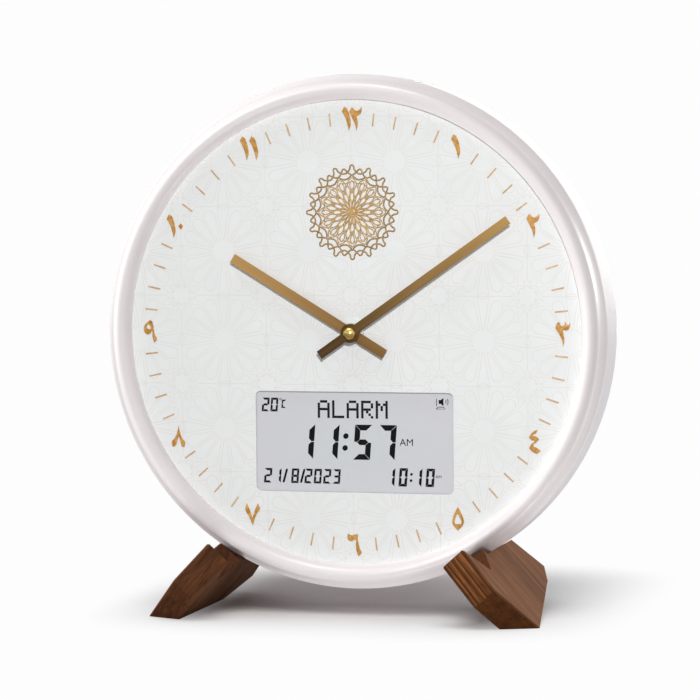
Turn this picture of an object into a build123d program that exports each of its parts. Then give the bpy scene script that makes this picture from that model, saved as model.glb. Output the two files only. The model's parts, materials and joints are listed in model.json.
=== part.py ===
"""Azan clock: a round wall and table clock with two hands, a liquid crystal display,
a sounder behind a rear grille and two splayed wooden feet.

Millimetres. +Z is up, the dial faces -Y, the floor is z = 0 and the origin lies under
the middle of the whole clock. Pieces are drawn in the dial's own frame (x to the right,
y up, z towards the reader, zero on the dial's face at its centre) and placed at the end.
"""
from build123d import *
from math import cos, sin, radians, pi
import os

# ---------------------------------------------------------------- case and dial
CASE_R = 150.0            # widest radius, on the bezel
BEZEL_WIDTH = 14.6        # from the dial's visible edge to the widest radius
BEZEL_HEIGHT = 8.0        # crest of the bezel above the dial face
BEZEL_CREST_STEP = 6.1    # from the dial's visible edge to the crest
BEZEL_RIM_STEP = 3.8      # the half-round ends this far inside the widest radius
BEZEL_RIM_HEIGHT = 3.0    # and this far above the dial face; the flank falls away from there
BEZEL_WALL = 2.4
BEZEL_SKIRT = 3.0         # the bezel's rim ends this far behind the dial face
DRUM_STEP = 0.3           # the drum is this much smaller in radius than the bezel
DRUM_WALL = 2.6
CASE_BACK = 36.0          # outer face of the rear wall, behind the dial face
BACK_WALL = 2.5
BACK_CORNER_R = 5.0
CASE_LIFT = 15.0          # lowest point of the bezel above the floor
DIAL_THICK = 1.5
DIAL_SEAT = 3.0           # width of the dial's edge that the bezel covers
FIT = 0.2                 # running and assembly clearance, per side
LEDGE_THICK = 3.0         # ledge inside the drum that carries the dial's edge

# ---------------------------------------------------------------- display
LCD_SIGHT = (119.0, 59.0)
LCD_GAP = 1.6             # from the movement down to the display's holder
LCD_CORNER_R = 3.0
WINDOW_THICK = 1.2        # flange of the clear window, behind the dial
WINDOW_FLANGE = 2.5
WINDOW_SUNK = 0.15        # the window's face below the dial's
GLASS_THICK = 2.8
BACKLIGHT_THICK = 2.2
HOLDER_WALL = 2.4
BOARD_THICK = 1.6
BOARD_GAP = 2.4           # from the back light to the main board

# ---------------------------------------------------------------- movement and hands
MOVEMENT_FRONT = 6.5      # depth of the movement's front half
MOVEMENT_WALL = 1.2
MOVEMENT_CHAMBER = 10.2   # room for the wheels below the hand axis
CELL_ROOM = 0.6           # free on each side of the movement's cell
STEM_D = 8.0
STEM_HEIGHT = 3.4         # above the dial face
PIPE_D = 5.0
ARBOR_D = 3.0
NUT_AF = 12.0
NUT_THICK = 2.0
WASHER_THICK = 0.6
MOTION_CENTRES = 9.6      # from the hand axis to the intermediate wheel
PINION_TEETH, WHEEL_TEETH = 12, 36
HOUR_PINION_TEETH, HOUR_WHEEL_TEETH = 10, 40
KNOB_BEARING = 20.0       # direction of the setting shaft from the intermediate wheel
KNOB_D = 13.0
KNOB_HEIGHT = 5.0

HOUR_ANGLE, MINUTE_ANGLE = 301.3, 55.1     # clockwise from twelve
HOUR_HAND = (83.6, 23.4, 5.8)              # reach, tail, width
MINUTE_HAND = (114.5, 22.5, 5.2)
HAND_THICK = 0.9
HAND_BOSS_D = 11.0
HOUR_HAND_Z = 4.2
MINUTE_HAND_Z = 7.0
CAP_D, CAP_HEIGHT = 7.2, 3.6

# ---------------------------------------------------------------- sound, power, buttons
SPEAKER_D = 66.0
SPEAKER_GAP = 12.0        # from the speaker's upper edge to the middle of the hanger
SPEAKER_DEPTH = 19.0
MAGNET_D = 38.0
GRILLE_RINGS, GRILLE_SLOT, GRILLE_PITCH = 5, 2.4, 5.2
CELL_D, CELL_LENGTH = 14.2, 50.0
CELL_COUNT = 3
CELL_GAP = 1.2
BAY_CENTRE_Y = -76.0
BAY_END_ROOM = 4.0        # for a spring or contact plate at each end of the cells
BAY_WALL = 1.5
DOOR_THICK = 1.8
DOOR_RIM = 3.0
DOOR_PIN_D = 1.8
DOOR_CORNER_R = 1.0
DOOR_RECESS_CORNER_R = 0.4         # nearly square, so that the open door's corners stay clear
BUTTON_X = -62.0
BUTTON_TOP_Y = 30.0
BUTTON_PITCH = 15.0
BUTTON_NAMES = ("mode_button", "set_button", "up_button", "down_button", "stop_button")
BUTTON_D = 8.0
BUTTON_PROUD = 2.2
BUTTON_TRAVEL = 1.0
SWITCH_SIZE, SWITCH_HEIGHT = 6.0, 3.6
SWITCH_BOARD_GAP = 8.6    # from the rear wall's inner face to the button board

# ---------------------------------------------------------------- fasteners
SCREW_D, SCREW_HEAD_D, SCREW_HEAD = 2.6, 5.2, 1.8
BOSS_D = 6.6
DIAL_POSTS = 4
DIAL_POST_INSET = 17.4    # from the dial's visible edge
BEZEL_SCREWS = 6
BEZEL_SCREW_LENGTH = 7.0
HANGER_INSET = 23.0       # from the widest radius of the case
HANGER_HOLE_D, HANGER_SLOT_D, HANGER_SLOT_RISE = 9.0, 4.6, 7.5

# ---------------------------------------------------------------- wooden feet
FOOT_SPLAY = 42.0         # each plank leans out this far from upright
FOOT_THICK = 16.0
FOOT_OFFSET = 31.9        # from the hand axis square to the plank's middle plane
FOOT_TIP = (-11.5, -46.0)          # (down the plank from the case's radius, behind the dial face)
FOOT_FRONT_LOW = (18.0, -52.0)
FOOT_TOE_BACK = -32.0
FOOT_HEEL = (29.5, 61.5)
FOOT_REAR = (22.0, 77.0)
FOOT_SEAT_REAR_BACK = 55.0
FOOT_SEAT_FRONT_BACK = -9.0
FOOT_NOTCH = (7.0, -28.0)
FOOT_SEAT_GAP = 0.1
FOOT_EDGE = 0.8           # chamfer along the planks' edges

# ---------------------------------------------------------------- worked out
AXIS_HEIGHT = CASE_R + CASE_LIFT
DIAL_SIGHT_R = CASE_R - BEZEL_WIDTH
BEZEL_CREST_R = DIAL_SIGHT_R + BEZEL_CREST_STEP
BEZEL_RIM_R = CASE_R - BEZEL_RIM_STEP
DRUM_R = CASE_R - DRUM_STEP
DRUM_IN_R = DRUM_R - DRUM_WALL
BACK_INNER = CASE_BACK - BACK_WALL
DIAL_R = DIAL_SIGHT_R + DIAL_SEAT
DIAL_POST_R = DIAL_SIGHT_R - DIAL_POST_INSET
BEZEL_SCREW_R = DIAL_R + BOSS_D / 2 + 0.5
HANGER_Y = CASE_R - HANGER_INSET
SPEAKER_CENTRE_Y = HANGER_Y - SPEAKER_GAP - SPEAKER_D / 2
MOVEMENT_DEPTH = CELL_D + 3 * CELL_ROOM
MOVEMENT_SIZE = 2 * (MOVEMENT_CHAMBER + CELL_D + 2 * CELL_ROOM + 2 * MOVEMENT_WALL)
CELL_PITCH = CELL_D + CELL_GAP
MOVEMENT_BACK = DIAL_THICK + MOVEMENT_DEPTH
MOVEMENT_SPLIT = DIAL_THICK + MOVEMENT_FRONT
WELL = MOVEMENT_SIZE + 3.0
WELL_OVERLAP = 4.0        # the well's wall reaches this far along the movement's sides
GLASS_Z = -DIAL_THICK - WINDOW_THICK - FIT
LIGHT_Z = GLASS_Z - GLASS_THICK
BOARD_Z = LIGHT_Z - BACKLIGHT_THICK - BOARD_GAP
GLASS_SIZE = (LCD_SIGHT[0] + 5.0, LCD_SIGHT[1] + 5.0)
HOLDER_SIZE = (GLASS_SIZE[0] + 2 * HOLDER_WALL, GLASS_SIZE[1] + 2 * HOLDER_WALL)
LCD_CENTRE_Y = -MOVEMENT_SIZE / 2 - LCD_GAP - HOLDER_SIZE[1] / 2
SWITCH_BOARD_Z = -BACK_INNER + SWITCH_BOARD_GAP
BAY_INNER = (CELL_LENGTH + 2 * BAY_END_ROOM, CELL_COUNT * CELL_PITCH + 0.6)
BAY_DEPTH = CELL_D + 0.8
DOOR_SIZE = (BAY_INNER[0] + 2 * DOOR_RIM, BAY_INNER[1] + 2 * DOOR_RIM)
FOOT_DEPTH_MIDDLE = (FOOT_FRONT_LOW[1] + FOOT_REAR[1]) / 2
DIAL_FRAME = Plane(origin=(0, -FOOT_DEPTH_MIDDLE, AXIS_HEIGHT), x_dir=(1, 0, 0), z_dir=(0, -1, 0))

LOW = (Align.CENTER, Align.CENTER, Align.MIN)


# ---------------------------------------------------------------- shape helpers
def disc(radius, z_low, z_high, at=(0.0, 0.0)):
    """A round bar along the clock's depth."""
    return Pos(at[0], at[1], z_low) * Cylinder(radius, z_high - z_low, align=LOW)


def ring(outer, inner, z_low, z_high, at=(0.0, 0.0)):
    return disc(outer, z_low, z_high, at) - disc(inner, z_low - 1, z_high + 1, at)


def slab(size, z_low, z_high, at=(0.0, 0.0), corner=0.0):
    """A rectangular plate, with rounded corners where corner is given."""
    outline = RectangleRounded(*size, corner) if corner else Rectangle(*size)
    return Pos(at[0], at[1], z_low) * extrude(outline, z_high - z_low)


def polar(radius, clockwise):
    """A place on the dial, by its angle clockwise from twelve."""
    return (radius * sin(radians(clockwise)), radius * cos(radians(clockwise)))


def turned(points_and_arcs):
    """A solid of revolution about the clock's axis from edges in (radius, z)."""
    section = make_face([Plane.XZ.location * edge for edge in points_and_arcs])
    return revolve(section, Axis.Z)


def spaced(count, radius, start=0.0):
    """Places at even steps round the dial."""
    return [polar(radius, start + i * 360 / count) for i in range(count)]


def screw(z_head, length, at, forward=True):
    """A pan head screw whose head rests on z_head; its shank runs towards the dial."""
    way = 1 if forward else -1
    shank_low, shank_high = sorted((z_head, z_head + way * length))
    head_low, head_high = sorted((z_head, z_head - way * SCREW_HEAD))
    return disc(SCREW_HEAD_D / 2, head_low, head_high, at) + disc(SCREW_D / 2, shank_low, shank_high, at)


def gear(teeth, module, z_low, z_high, tooth_at, at=(0.0, 0.0)):
    """A spur gear with straight-flanked clock teeth, one tooth centred on tooth_at degrees."""
    pitch_r = teeth * module / 2
    tip_r, root_r = pitch_r + 0.85 * module, pitch_r - 1.15 * module
    tooth = pi * module / pitch_r
    outline = []
    for i in range(teeth):
        middle = radians(tooth_at) + i * 2 * pi / teeth
        for radius, share in ((root_r, -0.36), (tip_r, -0.12), (tip_r, 0.12), (root_r, 0.36)):
            angle = middle + share * tooth
            outline.append((radius * cos(angle), radius * sin(angle)))
    face = make_face(Polyline(*outline, close=True))
    return Pos(at[0], at[1], z_low) * extrude(face, z_high - z_low)


# ---------------------------------------------------------------- case
def front_bezel():
    """Half-round ring that covers the dial's edge, with a sloping flank, hollow behind, and screw bosses."""
    lip = 0.05
    crest, rim = (BEZEL_CREST_R, BEZEL_HEIGHT), (BEZEL_RIM_R, BEZEL_RIM_HEIGHT)
    inner_r, skirt_in = DIAL_SIGHT_R, CASE_R - BEZEL_WALL
    shoulder = -0.8
    hollow_height = BEZEL_HEIGHT - BEZEL_WALL
    below = -BEZEL_SKIRT - 1
    outer_swell = (BEZEL_CREST_R + 0.74 * (BEZEL_RIM_R - BEZEL_CREST_R),
                   BEZEL_RIM_HEIGHT + 0.64 * (BEZEL_HEIGHT - BEZEL_RIM_HEIGHT))
    shell = turned([
        ThreePointArc((inner_r, lip), (inner_r + 1.75, 0.68 * BEZEL_HEIGHT), crest),
        ThreePointArc(crest, outer_swell, rim),
        Polyline(rim, (CASE_R, -0.4 * BEZEL_SKIRT), (CASE_R, -BEZEL_SKIRT), (inner_r, -BEZEL_SKIRT),
                 (inner_r, lip)),
    ])
    shell -= turned([
        Polyline((skirt_in, below), (skirt_in, shoulder), (BEZEL_RIM_R - 1.9, BEZEL_RIM_HEIGHT - 1.8),
                 (BEZEL_CREST_R, hollow_height), (inner_r + 3.6, 0.55 * hollow_height),
                 (inner_r + BEZEL_WALL, lip), (inner_r - 3, lip), (inner_r - 3, below),
                 (skirt_in, below)),
    ])
    boss_top = BEZEL_RIM_HEIGHT + 0.4
    for place in spaced(BEZEL_SCREWS, BEZEL_SCREW_R, 30.0):
        shell += disc(BOSS_D / 2, -DIAL_THICK + 0.1, boss_top, place)
        shell -= disc(SCREW_D / 2 + 0.02, -DIAL_THICK, boss_top - 0.6, place)
    return shell


def rear_case():
    """Drum and rear wall in one moulding: ledge, posts, wells, grille and openings."""
    lip_top = -0.8
    corner = BACK_CORNER_R
    lean = corner * (1 - cos(radians(45)))
    inner_corner = corner - DRUM_WALL / 2
    spigot_r = CASE_R - BEZEL_WALL - FIT
    shell = turned([
        Polyline((spigot_r, lip_top), (spigot_r, -BEZEL_SKIRT - 0.05), (DRUM_R, -BEZEL_SKIRT - 0.05),
                 (DRUM_R, -CASE_BACK + corner)),
        ThreePointArc((DRUM_R, -CASE_BACK + corner), (DRUM_R - lean, -CASE_BACK + lean),
                      (DRUM_R - corner, -CASE_BACK)),
        Polyline((DRUM_R - corner, -CASE_BACK), (0, -CASE_BACK), (0, -BACK_INNER),
                 (DRUM_IN_R - inner_corner, -BACK_INNER)),
        Line((DRUM_IN_R - inner_corner, -BACK_INNER), (DRUM_IN_R, -BACK_INNER + inner_corner)),
        Polyline((DRUM_IN_R, -BACK_INNER + inner_corner), (DRUM_IN_R, -DIAL_THICK - LEDGE_THICK),
                 (DIAL_SIGHT_R + 0.6, -DIAL_THICK - LEDGE_THICK), (DIAL_SIGHT_R + 0.6, -DIAL_THICK),
                 (spigot_r - 1.8, -DIAL_THICK), (spigot_r - 1.8, lip_top), (spigot_r, lip_top)),
    ])
    for place in spaced(DIAL_POSTS, DIAL_POST_R, 45.0):
        shell += disc(BOSS_D / 2, -BACK_INNER - 0.5, -DIAL_THICK - 0.05, place)
    for place in spaced(BEZEL_SCREWS, BEZEL_SCREW_R, 30.0):
        shell -= disc(SCREW_D / 2 + FIT, -DIAL_THICK - LEDGE_THICK - 1, 0, place)
        shell -= disc(SCREW_HEAD_D / 2 + 0.7, -CASE_BACK - 1, -DIAL_THICK - LEDGE_THICK, place)

    shell += well(WELL, WELL, BAY_WALL, -CASE_BACK, -MOVEMENT_BACK + WELL_OVERLAP)
    shell -= slab((WELL, WELL), -CASE_BACK - 1, -BACK_INNER + 1)
    shell += battery_bay()
    shell -= slab(BAY_INNER, -CASE_BACK - 1, -CASE_BACK + DOOR_THICK + BAY_DEPTH, (0, BAY_CENTRE_Y))
    shell -= slab((DOOR_SIZE[0] + 2 * FIT, DOOR_SIZE[1] + 2 * FIT), -CASE_BACK - 1,
                  -CASE_BACK + DOOR_THICK + FIT, (0, BAY_CENTRE_Y), DOOR_RECESS_CORNER_R)
    for side in (-1, 1):
        shell -= door_pin(side, DOOR_PIN_D / 2 + 0.15, 0.3)
    shell -= latch_notch()

    shell += ring(SPEAKER_D / 2 + 2.2, SPEAKER_D / 2 + FIT, -BACK_INNER - 0.5, -BACK_INNER + 3.0,
                  (0, SPEAKER_CENTRE_Y))
    shell -= grille()
    for place in speaker_screw_places():
        shell += disc(BOSS_D / 2, -BACK_INNER - 0.5, -BACK_INNER + 4.0, place)
        shell -= disc(SCREW_D / 2 + 0.02, -BACK_INNER, -BACK_INNER + 5.0, place)

    for i in range(len(BUTTON_NAMES)):
        shell -= disc(BUTTON_D / 2 + FIT, -CASE_BACK - 1, -BACK_INNER + 1, button_place(i))
    for place in button_board_screw_places():
        shell += disc(BOSS_D / 2, -BACK_INNER - 0.5, SWITCH_BOARD_Z - BOARD_THICK, place)
        shell -= disc(SCREW_D / 2 + 0.02, -BACK_INNER, SWITCH_BOARD_Z, place)

    shell += slab((16.0, 21.0), -BACK_INNER - 0.5, -BACK_INNER + 6.0, (0, HANGER_Y), 3.0)
    shell -= slab((13.0, 18.0), -BACK_INNER, -BACK_INNER + 4.8, (0, HANGER_Y), 2.0)
    shell -= disc(HANGER_HOLE_D / 2, -CASE_BACK - 1, -BACK_INNER + 1, (0, HANGER_Y - 4.0))
    slot_y = HANGER_Y - 4.0 + HANGER_SLOT_RISE
    shell -= disc(HANGER_SLOT_D / 2, -CASE_BACK - 1, -BACK_INNER + 1, (0, slot_y))
    shell -= slab((HANGER_SLOT_D, HANGER_SLOT_RISE), -CASE_BACK - 1, -BACK_INNER + 1,
                  (0, slot_y - HANGER_SLOT_RISE / 2))
    return shell


def well(width, height, wall, z_low, z_high, at=(0.0, 0.0)):
    """A rectangular tube of the given inner size."""
    outer = slab((width + 2 * wall, height + 2 * wall), z_low, z_high, at, 2.0)
    return outer - slab((width, height), z_low - 1, z_high + 1, at)


def battery_bay():
    """The tray for the cells, moulded on the inside of the rear wall."""
    floor_z = -CASE_BACK + DOOR_THICK + BAY_DEPTH
    outer = (DOOR_SIZE[0] + 2 * BAY_WALL + 1.0, DOOR_SIZE[1] + 2 * BAY_WALL + 1.0)
    tray = slab((BAY_INNER[0] + 2 * BAY_WALL, BAY_INNER[1] + 2 * BAY_WALL), -BACK_INNER - 0.5,
                floor_z + BAY_WALL, (0, BAY_CENTRE_Y))
    return tray + slab(outer, -CASE_BACK, -CASE_BACK + DOOR_THICK + BAY_WALL, (0, BAY_CENTRE_Y), 2.0)


def door_pin(side, radius, extra=0.0):
    """One hinge pin of the battery door, at its lower edge."""
    z_pin = -CASE_BACK + DOOR_THICK / 2
    length = 2.0 + extra
    x_start = side * (DOOR_SIZE[0] / 2 - 0.5)
    y_pin = BAY_CENTRE_Y - DOOR_SIZE[1] / 2 + DOOR_THICK / 2
    pin = Pos(x_start + side * length / 2, y_pin, z_pin) * (Rot(0, 90, 0) * Cylinder(radius, length))
    return pin


def latch_notch():
    """Notch for a fingernail above the door's tongue."""
    y_latch = BAY_CENTRE_Y + DOOR_SIZE[1] / 2 + FIT + 0.9
    return slab((11.0, 3.2), -CASE_BACK - 1, -CASE_BACK + DOOR_THICK, (0, y_latch))


def grille():
    """Concentric arcs of slots over the speaker, broken by four spokes."""
    slots = Pos(0, SPEAKER_CENTRE_Y, 0) * Cylinder(1.6, 4 * CASE_BACK)
    for i in range(GRILLE_RINGS):
        middle_r = GRILLE_PITCH * (i + 1)
        slots += ring(middle_r + GRILLE_SLOT / 2, middle_r - GRILLE_SLOT / 2, -CASE_BACK - 1,
                      -BACK_INNER + 0.2, (0, SPEAKER_CENTRE_Y))
    reach = 2 * GRILLE_PITCH * (GRILLE_RINGS + 1)
    spokes = slab((3.0, reach), -CASE_BACK - 2, 0, (0, SPEAKER_CENTRE_Y))
    spokes += slab((reach, 3.0), -CASE_BACK - 2, 0, (0, SPEAKER_CENTRE_Y))
    centre = disc(1.6, -CASE_BACK - 1, -BACK_INNER + 0.2, (0, SPEAKER_CENTRE_Y))
    arcs = slots - spokes
    return Part() + [s for s in arcs.solids()] + centre


# ---------------------------------------------------------------- dial
def dial_plate():
    """Printed disc with the display window, the stem hole and four stakes for the holder."""
    plate = disc(DIAL_R, -DIAL_THICK, 0)
    plate -= slab(LCD_SIGHT, -DIAL_THICK - 1, 1, (0, LCD_CENTRE_Y), LCD_CORNER_R)
    plate -= disc(STEM_D / 2 + 0.1, -DIAL_THICK - 1, 1)
    for place in stake_places():
        plate += disc(1.6, -DIAL_THICK - 5.0, -DIAL_THICK, place)
    return plate


def bezel_screws():
    head_z = -DIAL_THICK - LEDGE_THICK
    return Compound(children=[
        screw(head_z, BEZEL_SCREW_LENGTH, place) for place in spaced(BEZEL_SCREWS, BEZEL_SCREW_R, 30.0)])


def stake_places():
    x = HOLDER_SIZE[0] / 2 + 4.0
    return [(sx * x, LCD_CENTRE_Y + sy * 20.0) for sx in (-1, 1) for sy in (-1, 1)]


# ---------------------------------------------------------------- display
def lcd_window():
    """Clear plastic window: a plug in the dial's opening and a flange behind it."""
    at = (0, LCD_CENTRE_Y)
    plug = slab((LCD_SIGHT[0] - 2 * FIT, LCD_SIGHT[1] - 2 * FIT), -DIAL_THICK, -WINDOW_SUNK, at,
                LCD_CORNER_R - FIT)
    flange = slab((LCD_SIGHT[0] + 2 * WINDOW_FLANGE, LCD_SIGHT[1] + 2 * WINDOW_FLANGE),
                  -DIAL_THICK - WINDOW_THICK, -DIAL_THICK, at)
    return plug + flange


def lcd_panel():
    """Two glass plates, the lower one longer for the contacts."""
    at = (0, LCD_CENTRE_Y)
    half = GLASS_THICK / 2
    front = slab((GLASS_SIZE[0], GLASS_SIZE[1] - 5.0), GLASS_Z - half, GLASS_Z, at)
    return front + slab(GLASS_SIZE, GLASS_Z - GLASS_THICK, GLASS_Z - half, at)


def backlight_panel():
    """Edge-lit acrylic sheet with a tongue for its lamp at the right."""
    at = (0, LCD_CENTRE_Y)
    sheet = slab((GLASS_SIZE[0] - 4.0, GLASS_SIZE[1] - 10.0), LIGHT_Z - BACKLIGHT_THICK, LIGHT_Z, at)
    return sheet - slab((3.0, 12.0), LIGHT_Z - 9, LIGHT_Z + 1, (GLASS_SIZE[0] / 2 - 3.4, LCD_CENTRE_Y))


def lcd_connectors():
    """Two elastomer strips that join the glass to the main board."""
    strips = []
    for side in (-1, 1):
        y = LCD_CENTRE_Y + side * (GLASS_SIZE[1] / 2 - 2.2)
        strips.append(slab((GLASS_SIZE[0] - 14.0, 2.4), BOARD_Z, LIGHT_Z, (0, y)))
    return Compound(children=strips)


def lcd_holder():
    """Frame that clamps window, glass and back light to the dial; ears take the stakes."""
    at = (0, LCD_CENTRE_Y)
    frame = well(GLASS_SIZE[0] + 2 * FIT, GLASS_SIZE[1] + 2 * FIT, HOLDER_WALL - FIT, BOARD_Z, -DIAL_THICK, at)
    window_room = (LCD_SIGHT[0] + 2 * WINDOW_FLANGE + FIT, LCD_SIGHT[1] + 2 * WINDOW_FLANGE + FIT)
    frame -= slab(window_room, -DIAL_THICK - WINDOW_THICK, 0, at)
    for place in stake_places():
        ear = slab((9.0, 9.0), -DIAL_THICK - 3.0, -DIAL_THICK, (place[0] * 0.985, place[1]), 2.0)
        frame += ear
        frame -= disc(1.6 + 0.1, -DIAL_THICK - 4.0, 0, place)
    for place in board_screw_places():
        frame += disc(BOSS_D / 2, BOARD_Z, -DIAL_THICK - 3.0, place)
        frame -= disc(SCREW_D / 2 + 0.02, BOARD_Z - 1, -DIAL_THICK - 4.0, place)
    return frame - slab(GLASS_SIZE, BOARD_Z - 1, -DIAL_THICK - WINDOW_THICK, at)


def board_screw_places():
    x = HOLDER_SIZE[0] / 2 + 2.0
    return [(sx * x, LCD_CENTRE_Y + sy * 29.0) for sx in (-1, 1) for sy in (-1, 1)]


def main_board():
    """Circuit board that closes the display holder and carries the chips."""
    width = HOLDER_SIZE[0] + 2 * BOSS_D - 2.0
    board = slab((width, HOLDER_SIZE[1] - 1.0), BOARD_Z - BOARD_THICK, BOARD_Z, (0, LCD_CENTRE_Y), 2.0)
    for place in board_screw_places():
        board -= disc(SCREW_D / 2 + FIT, BOARD_Z - 9, BOARD_Z + 1, place)
    return board


def board_screws():
    head_z = BOARD_Z - BOARD_THICK
    return Compound(children=[screw(head_z, 6.0, place) for place in board_screw_places()])


def board_chips():
    """Moulded chips and a can capacitor on the back of the main board."""
    top = BOARD_Z - BOARD_THICK
    chips = [slab((14.0, 14.0), top - 1.8, top, (-48.0, -52.0)),
             slab((10.0, 6.0), top - 1.6, top, (-46.0, -78.0)),
             slab((10.0, 6.0), top - 1.6, top, (46.0, -50.0)),
             disc(3.2, top - 7.0, top, (48.0, -70.0))]
    return Compound(children=chips)


def temperature_sensor():
    """Bead on two legs, bent clear of the warm parts of the board."""
    top = BOARD_Z - BOARD_THICK
    x, y = 52.0, -86.0
    bead = chamfer(disc(2.0, top - 10.0, top - 6.2, (x, y)).edges(), 0.6)
    for side in (-0.9, 0.9):
        bead += disc(0.35, top - 8.0, top, (x + side, y))
    return bead


# ---------------------------------------------------------------- movement
INTERMEDIATE_AT = (0.0, MOTION_CENTRES)
KNOB_AT = (MOTION_CENTRES * cos(radians(KNOB_BEARING)),
           MOTION_CENTRES * (1 + sin(radians(KNOB_BEARING))))
PINION_MODULE = 2 * MOTION_CENTRES / (PINION_TEETH + WHEEL_TEETH)
HOUR_MODULE = 2 * MOTION_CENTRES / (HOUR_PINION_TEETH + HOUR_WHEEL_TEETH)
HOUR_WHEEL_Z = (-DIAL_THICK - MOVEMENT_WALL - 1.8, -DIAL_THICK - MOVEMENT_WALL - 0.6)
PINION_Z = (HOUR_WHEEL_Z[0] - 2.4, HOUR_WHEEL_Z[0] - 0.8)
MOVEMENT_CELL_Y = -MOVEMENT_SIZE / 2 + MOVEMENT_WALL + CELL_D / 2 + CELL_ROOM


def movement_outline(inset):
    side = MOVEMENT_SIZE - 2 * inset
    return (side, side)


def movement_chamber(z_low, z_high):
    """Room for the wheels, above the battery bay of the movement."""
    bottom = MOVEMENT_CELL_Y + CELL_D / 2 + CELL_ROOM + MOVEMENT_WALL
    top = MOVEMENT_SIZE / 2 - MOVEMENT_WALL
    size = (MOVEMENT_SIZE - 2 * MOVEMENT_WALL, top - bottom)
    return slab(size, z_low, z_high, (0, (top + bottom) / 2), 1.0)


def movement_cell_room(z_low, z_high):
    size = (MOVEMENT_SIZE - 2 * MOVEMENT_WALL, CELL_D + 2 * CELL_ROOM)
    return slab(size, z_low, z_high, (0, MOVEMENT_CELL_Y))


def movement_front():
    """Front half of the movement's housing, with the bearing post of the intermediate wheel."""
    shell = slab(movement_outline(0), -MOVEMENT_SPLIT, -DIAL_THICK, corner=2.5)
    shell -= movement_chamber(-MOVEMENT_SPLIT - 1, -DIAL_THICK - MOVEMENT_WALL)
    shell -= movement_cell_room(-MOVEMENT_SPLIT - 1, -DIAL_THICK - MOVEMENT_WALL)
    shell -= disc(STEM_D / 2 + 0.02, -DIAL_THICK - 4, 0)
    return shell


def movement_back():
    """Rear half, open behind for the cell, with the recess of the setting knob."""
    shell = slab(movement_outline(0), -MOVEMENT_BACK, -MOVEMENT_SPLIT - 0.02, corner=2.5)
    shell -= movement_chamber(-MOVEMENT_BACK + MOVEMENT_WALL, -MOVEMENT_SPLIT + 1)
    shell -= movement_cell_room(-MOVEMENT_BACK - 1, -MOVEMENT_SPLIT + 1)
    shell += disc(2.4, -MOVEMENT_BACK + MOVEMENT_WALL - 0.2, PINION_Z[0] - 0.6, INTERMEDIATE_AT)
    shell -= disc(0.85, -MOVEMENT_BACK + MOVEMENT_WALL + 1, PINION_Z[0], INTERMEDIATE_AT)
    shell += disc(3.2, -MOVEMENT_BACK + MOVEMENT_WALL - 0.2, PINION_Z[0] - 0.6)
    shell -= disc(ARBOR_D / 2 + 0.15, -MOVEMENT_BACK + MOVEMENT_WALL + 1, PINION_Z[0])
    shell -= disc(1.5 + 0.15, -MOVEMENT_BACK - 1, -MOVEMENT_SPLIT, KNOB_AT)
    return shell


def stem_bush():
    """Threaded brass stem that passes through the dial and takes the nut."""
    bush = disc(STEM_D / 2, -DIAL_THICK - MOVEMENT_WALL, STEM_HEIGHT)
    bush = chamfer(bush.edges().group_by(Axis.Z)[-1], 0.5)
    return bush - disc(PIPE_D / 2 + 0.15, -DIAL_THICK - 5, STEM_HEIGHT + 1)


def stem_washer():
    return ring(8.0, STEM_D / 2 + 0.1, 0.0, WASHER_THICK)


def stem_nut():
    nut = Pos(0, 0, WASHER_THICK) * extrude(RegularPolygon(NUT_AF / 2, 6, major_radius=False), NUT_THICK)
    return nut - disc(STEM_D / 2 + 0.02, 0, STEM_HEIGHT)


def hour_wheel():
    """Forty teeth and the pipe that carries the hour hand."""
    wheel = gear(HOUR_WHEEL_TEETH, HOUR_MODULE, *HOUR_WHEEL_Z, tooth_at=90.0)
    wheel += disc(PIPE_D / 2, HOUR_WHEEL_Z[0], HOUR_HAND_Z + HAND_THICK + 0.3)
    return wheel - disc(ARBOR_D / 2 + 0.15, HOUR_WHEEL_Z[0] - 1, HOUR_HAND_Z + 9)


def minute_arbor():
    """Arbor of the minute hand with its twelve-leaf cannon pinion."""
    arbor = disc(ARBOR_D / 2, -MOVEMENT_BACK + MOVEMENT_WALL + 1.3, MINUTE_HAND_Z + HAND_THICK + 2.2)
    pinion = gear(PINION_TEETH, PINION_MODULE, *PINION_Z, tooth_at=90.0)
    collar = disc(ARBOR_D / 2 + 0.5, PINION_Z[1], HOUR_WHEEL_Z[0] - 0.2)
    return arbor + pinion + collar


def intermediate_wheel():
    """Thirty-six teeth in mesh with the cannon pinion, ten leaves with the hour wheel."""
    wheel = gear(WHEEL_TEETH, PINION_MODULE, *PINION_Z, 270.0 + 180 / WHEEL_TEETH, INTERMEDIATE_AT)
    pinion = gear(HOUR_PINION_TEETH, HOUR_MODULE, PINION_Z[1] - 0.1, HOUR_WHEEL_Z[1] + 0.2,
                  270.0 + 180 / HOUR_PINION_TEETH, INTERMEDIATE_AT)
    pivot = disc(0.7, -MOVEMENT_BACK + MOVEMENT_WALL + 1.3, -DIAL_THICK - MOVEMENT_WALL - 0.05,
                 INTERMEDIATE_AT)
    return wheel + pinion + pivot


def setting_knob():
    """Knurled knob on a shaft whose pinion meshes with the intermediate wheel."""
    knob_z = -MOVEMENT_BACK - 0.3
    flutes = 12
    knob = disc(KNOB_D / 2, knob_z - KNOB_HEIGHT, knob_z, KNOB_AT)
    for i in range(flutes):
        angle = radians(i * 360 / flutes)
        place = (KNOB_AT[0] + (KNOB_D / 2 + 0.25) * cos(angle), KNOB_AT[1] + (KNOB_D / 2 + 0.25) * sin(angle))
        knob -= disc(0.8, knob_z - KNOB_HEIGHT - 1, knob_z + 1, place)
    shaft = disc(1.5, knob_z, PINION_Z[1] + 0.2, KNOB_AT)
    leaves = gear(PINION_TEETH, PINION_MODULE, *PINION_Z, 180.0 + KNOB_BEARING, KNOB_AT)
    return knob + shaft + leaves


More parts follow.
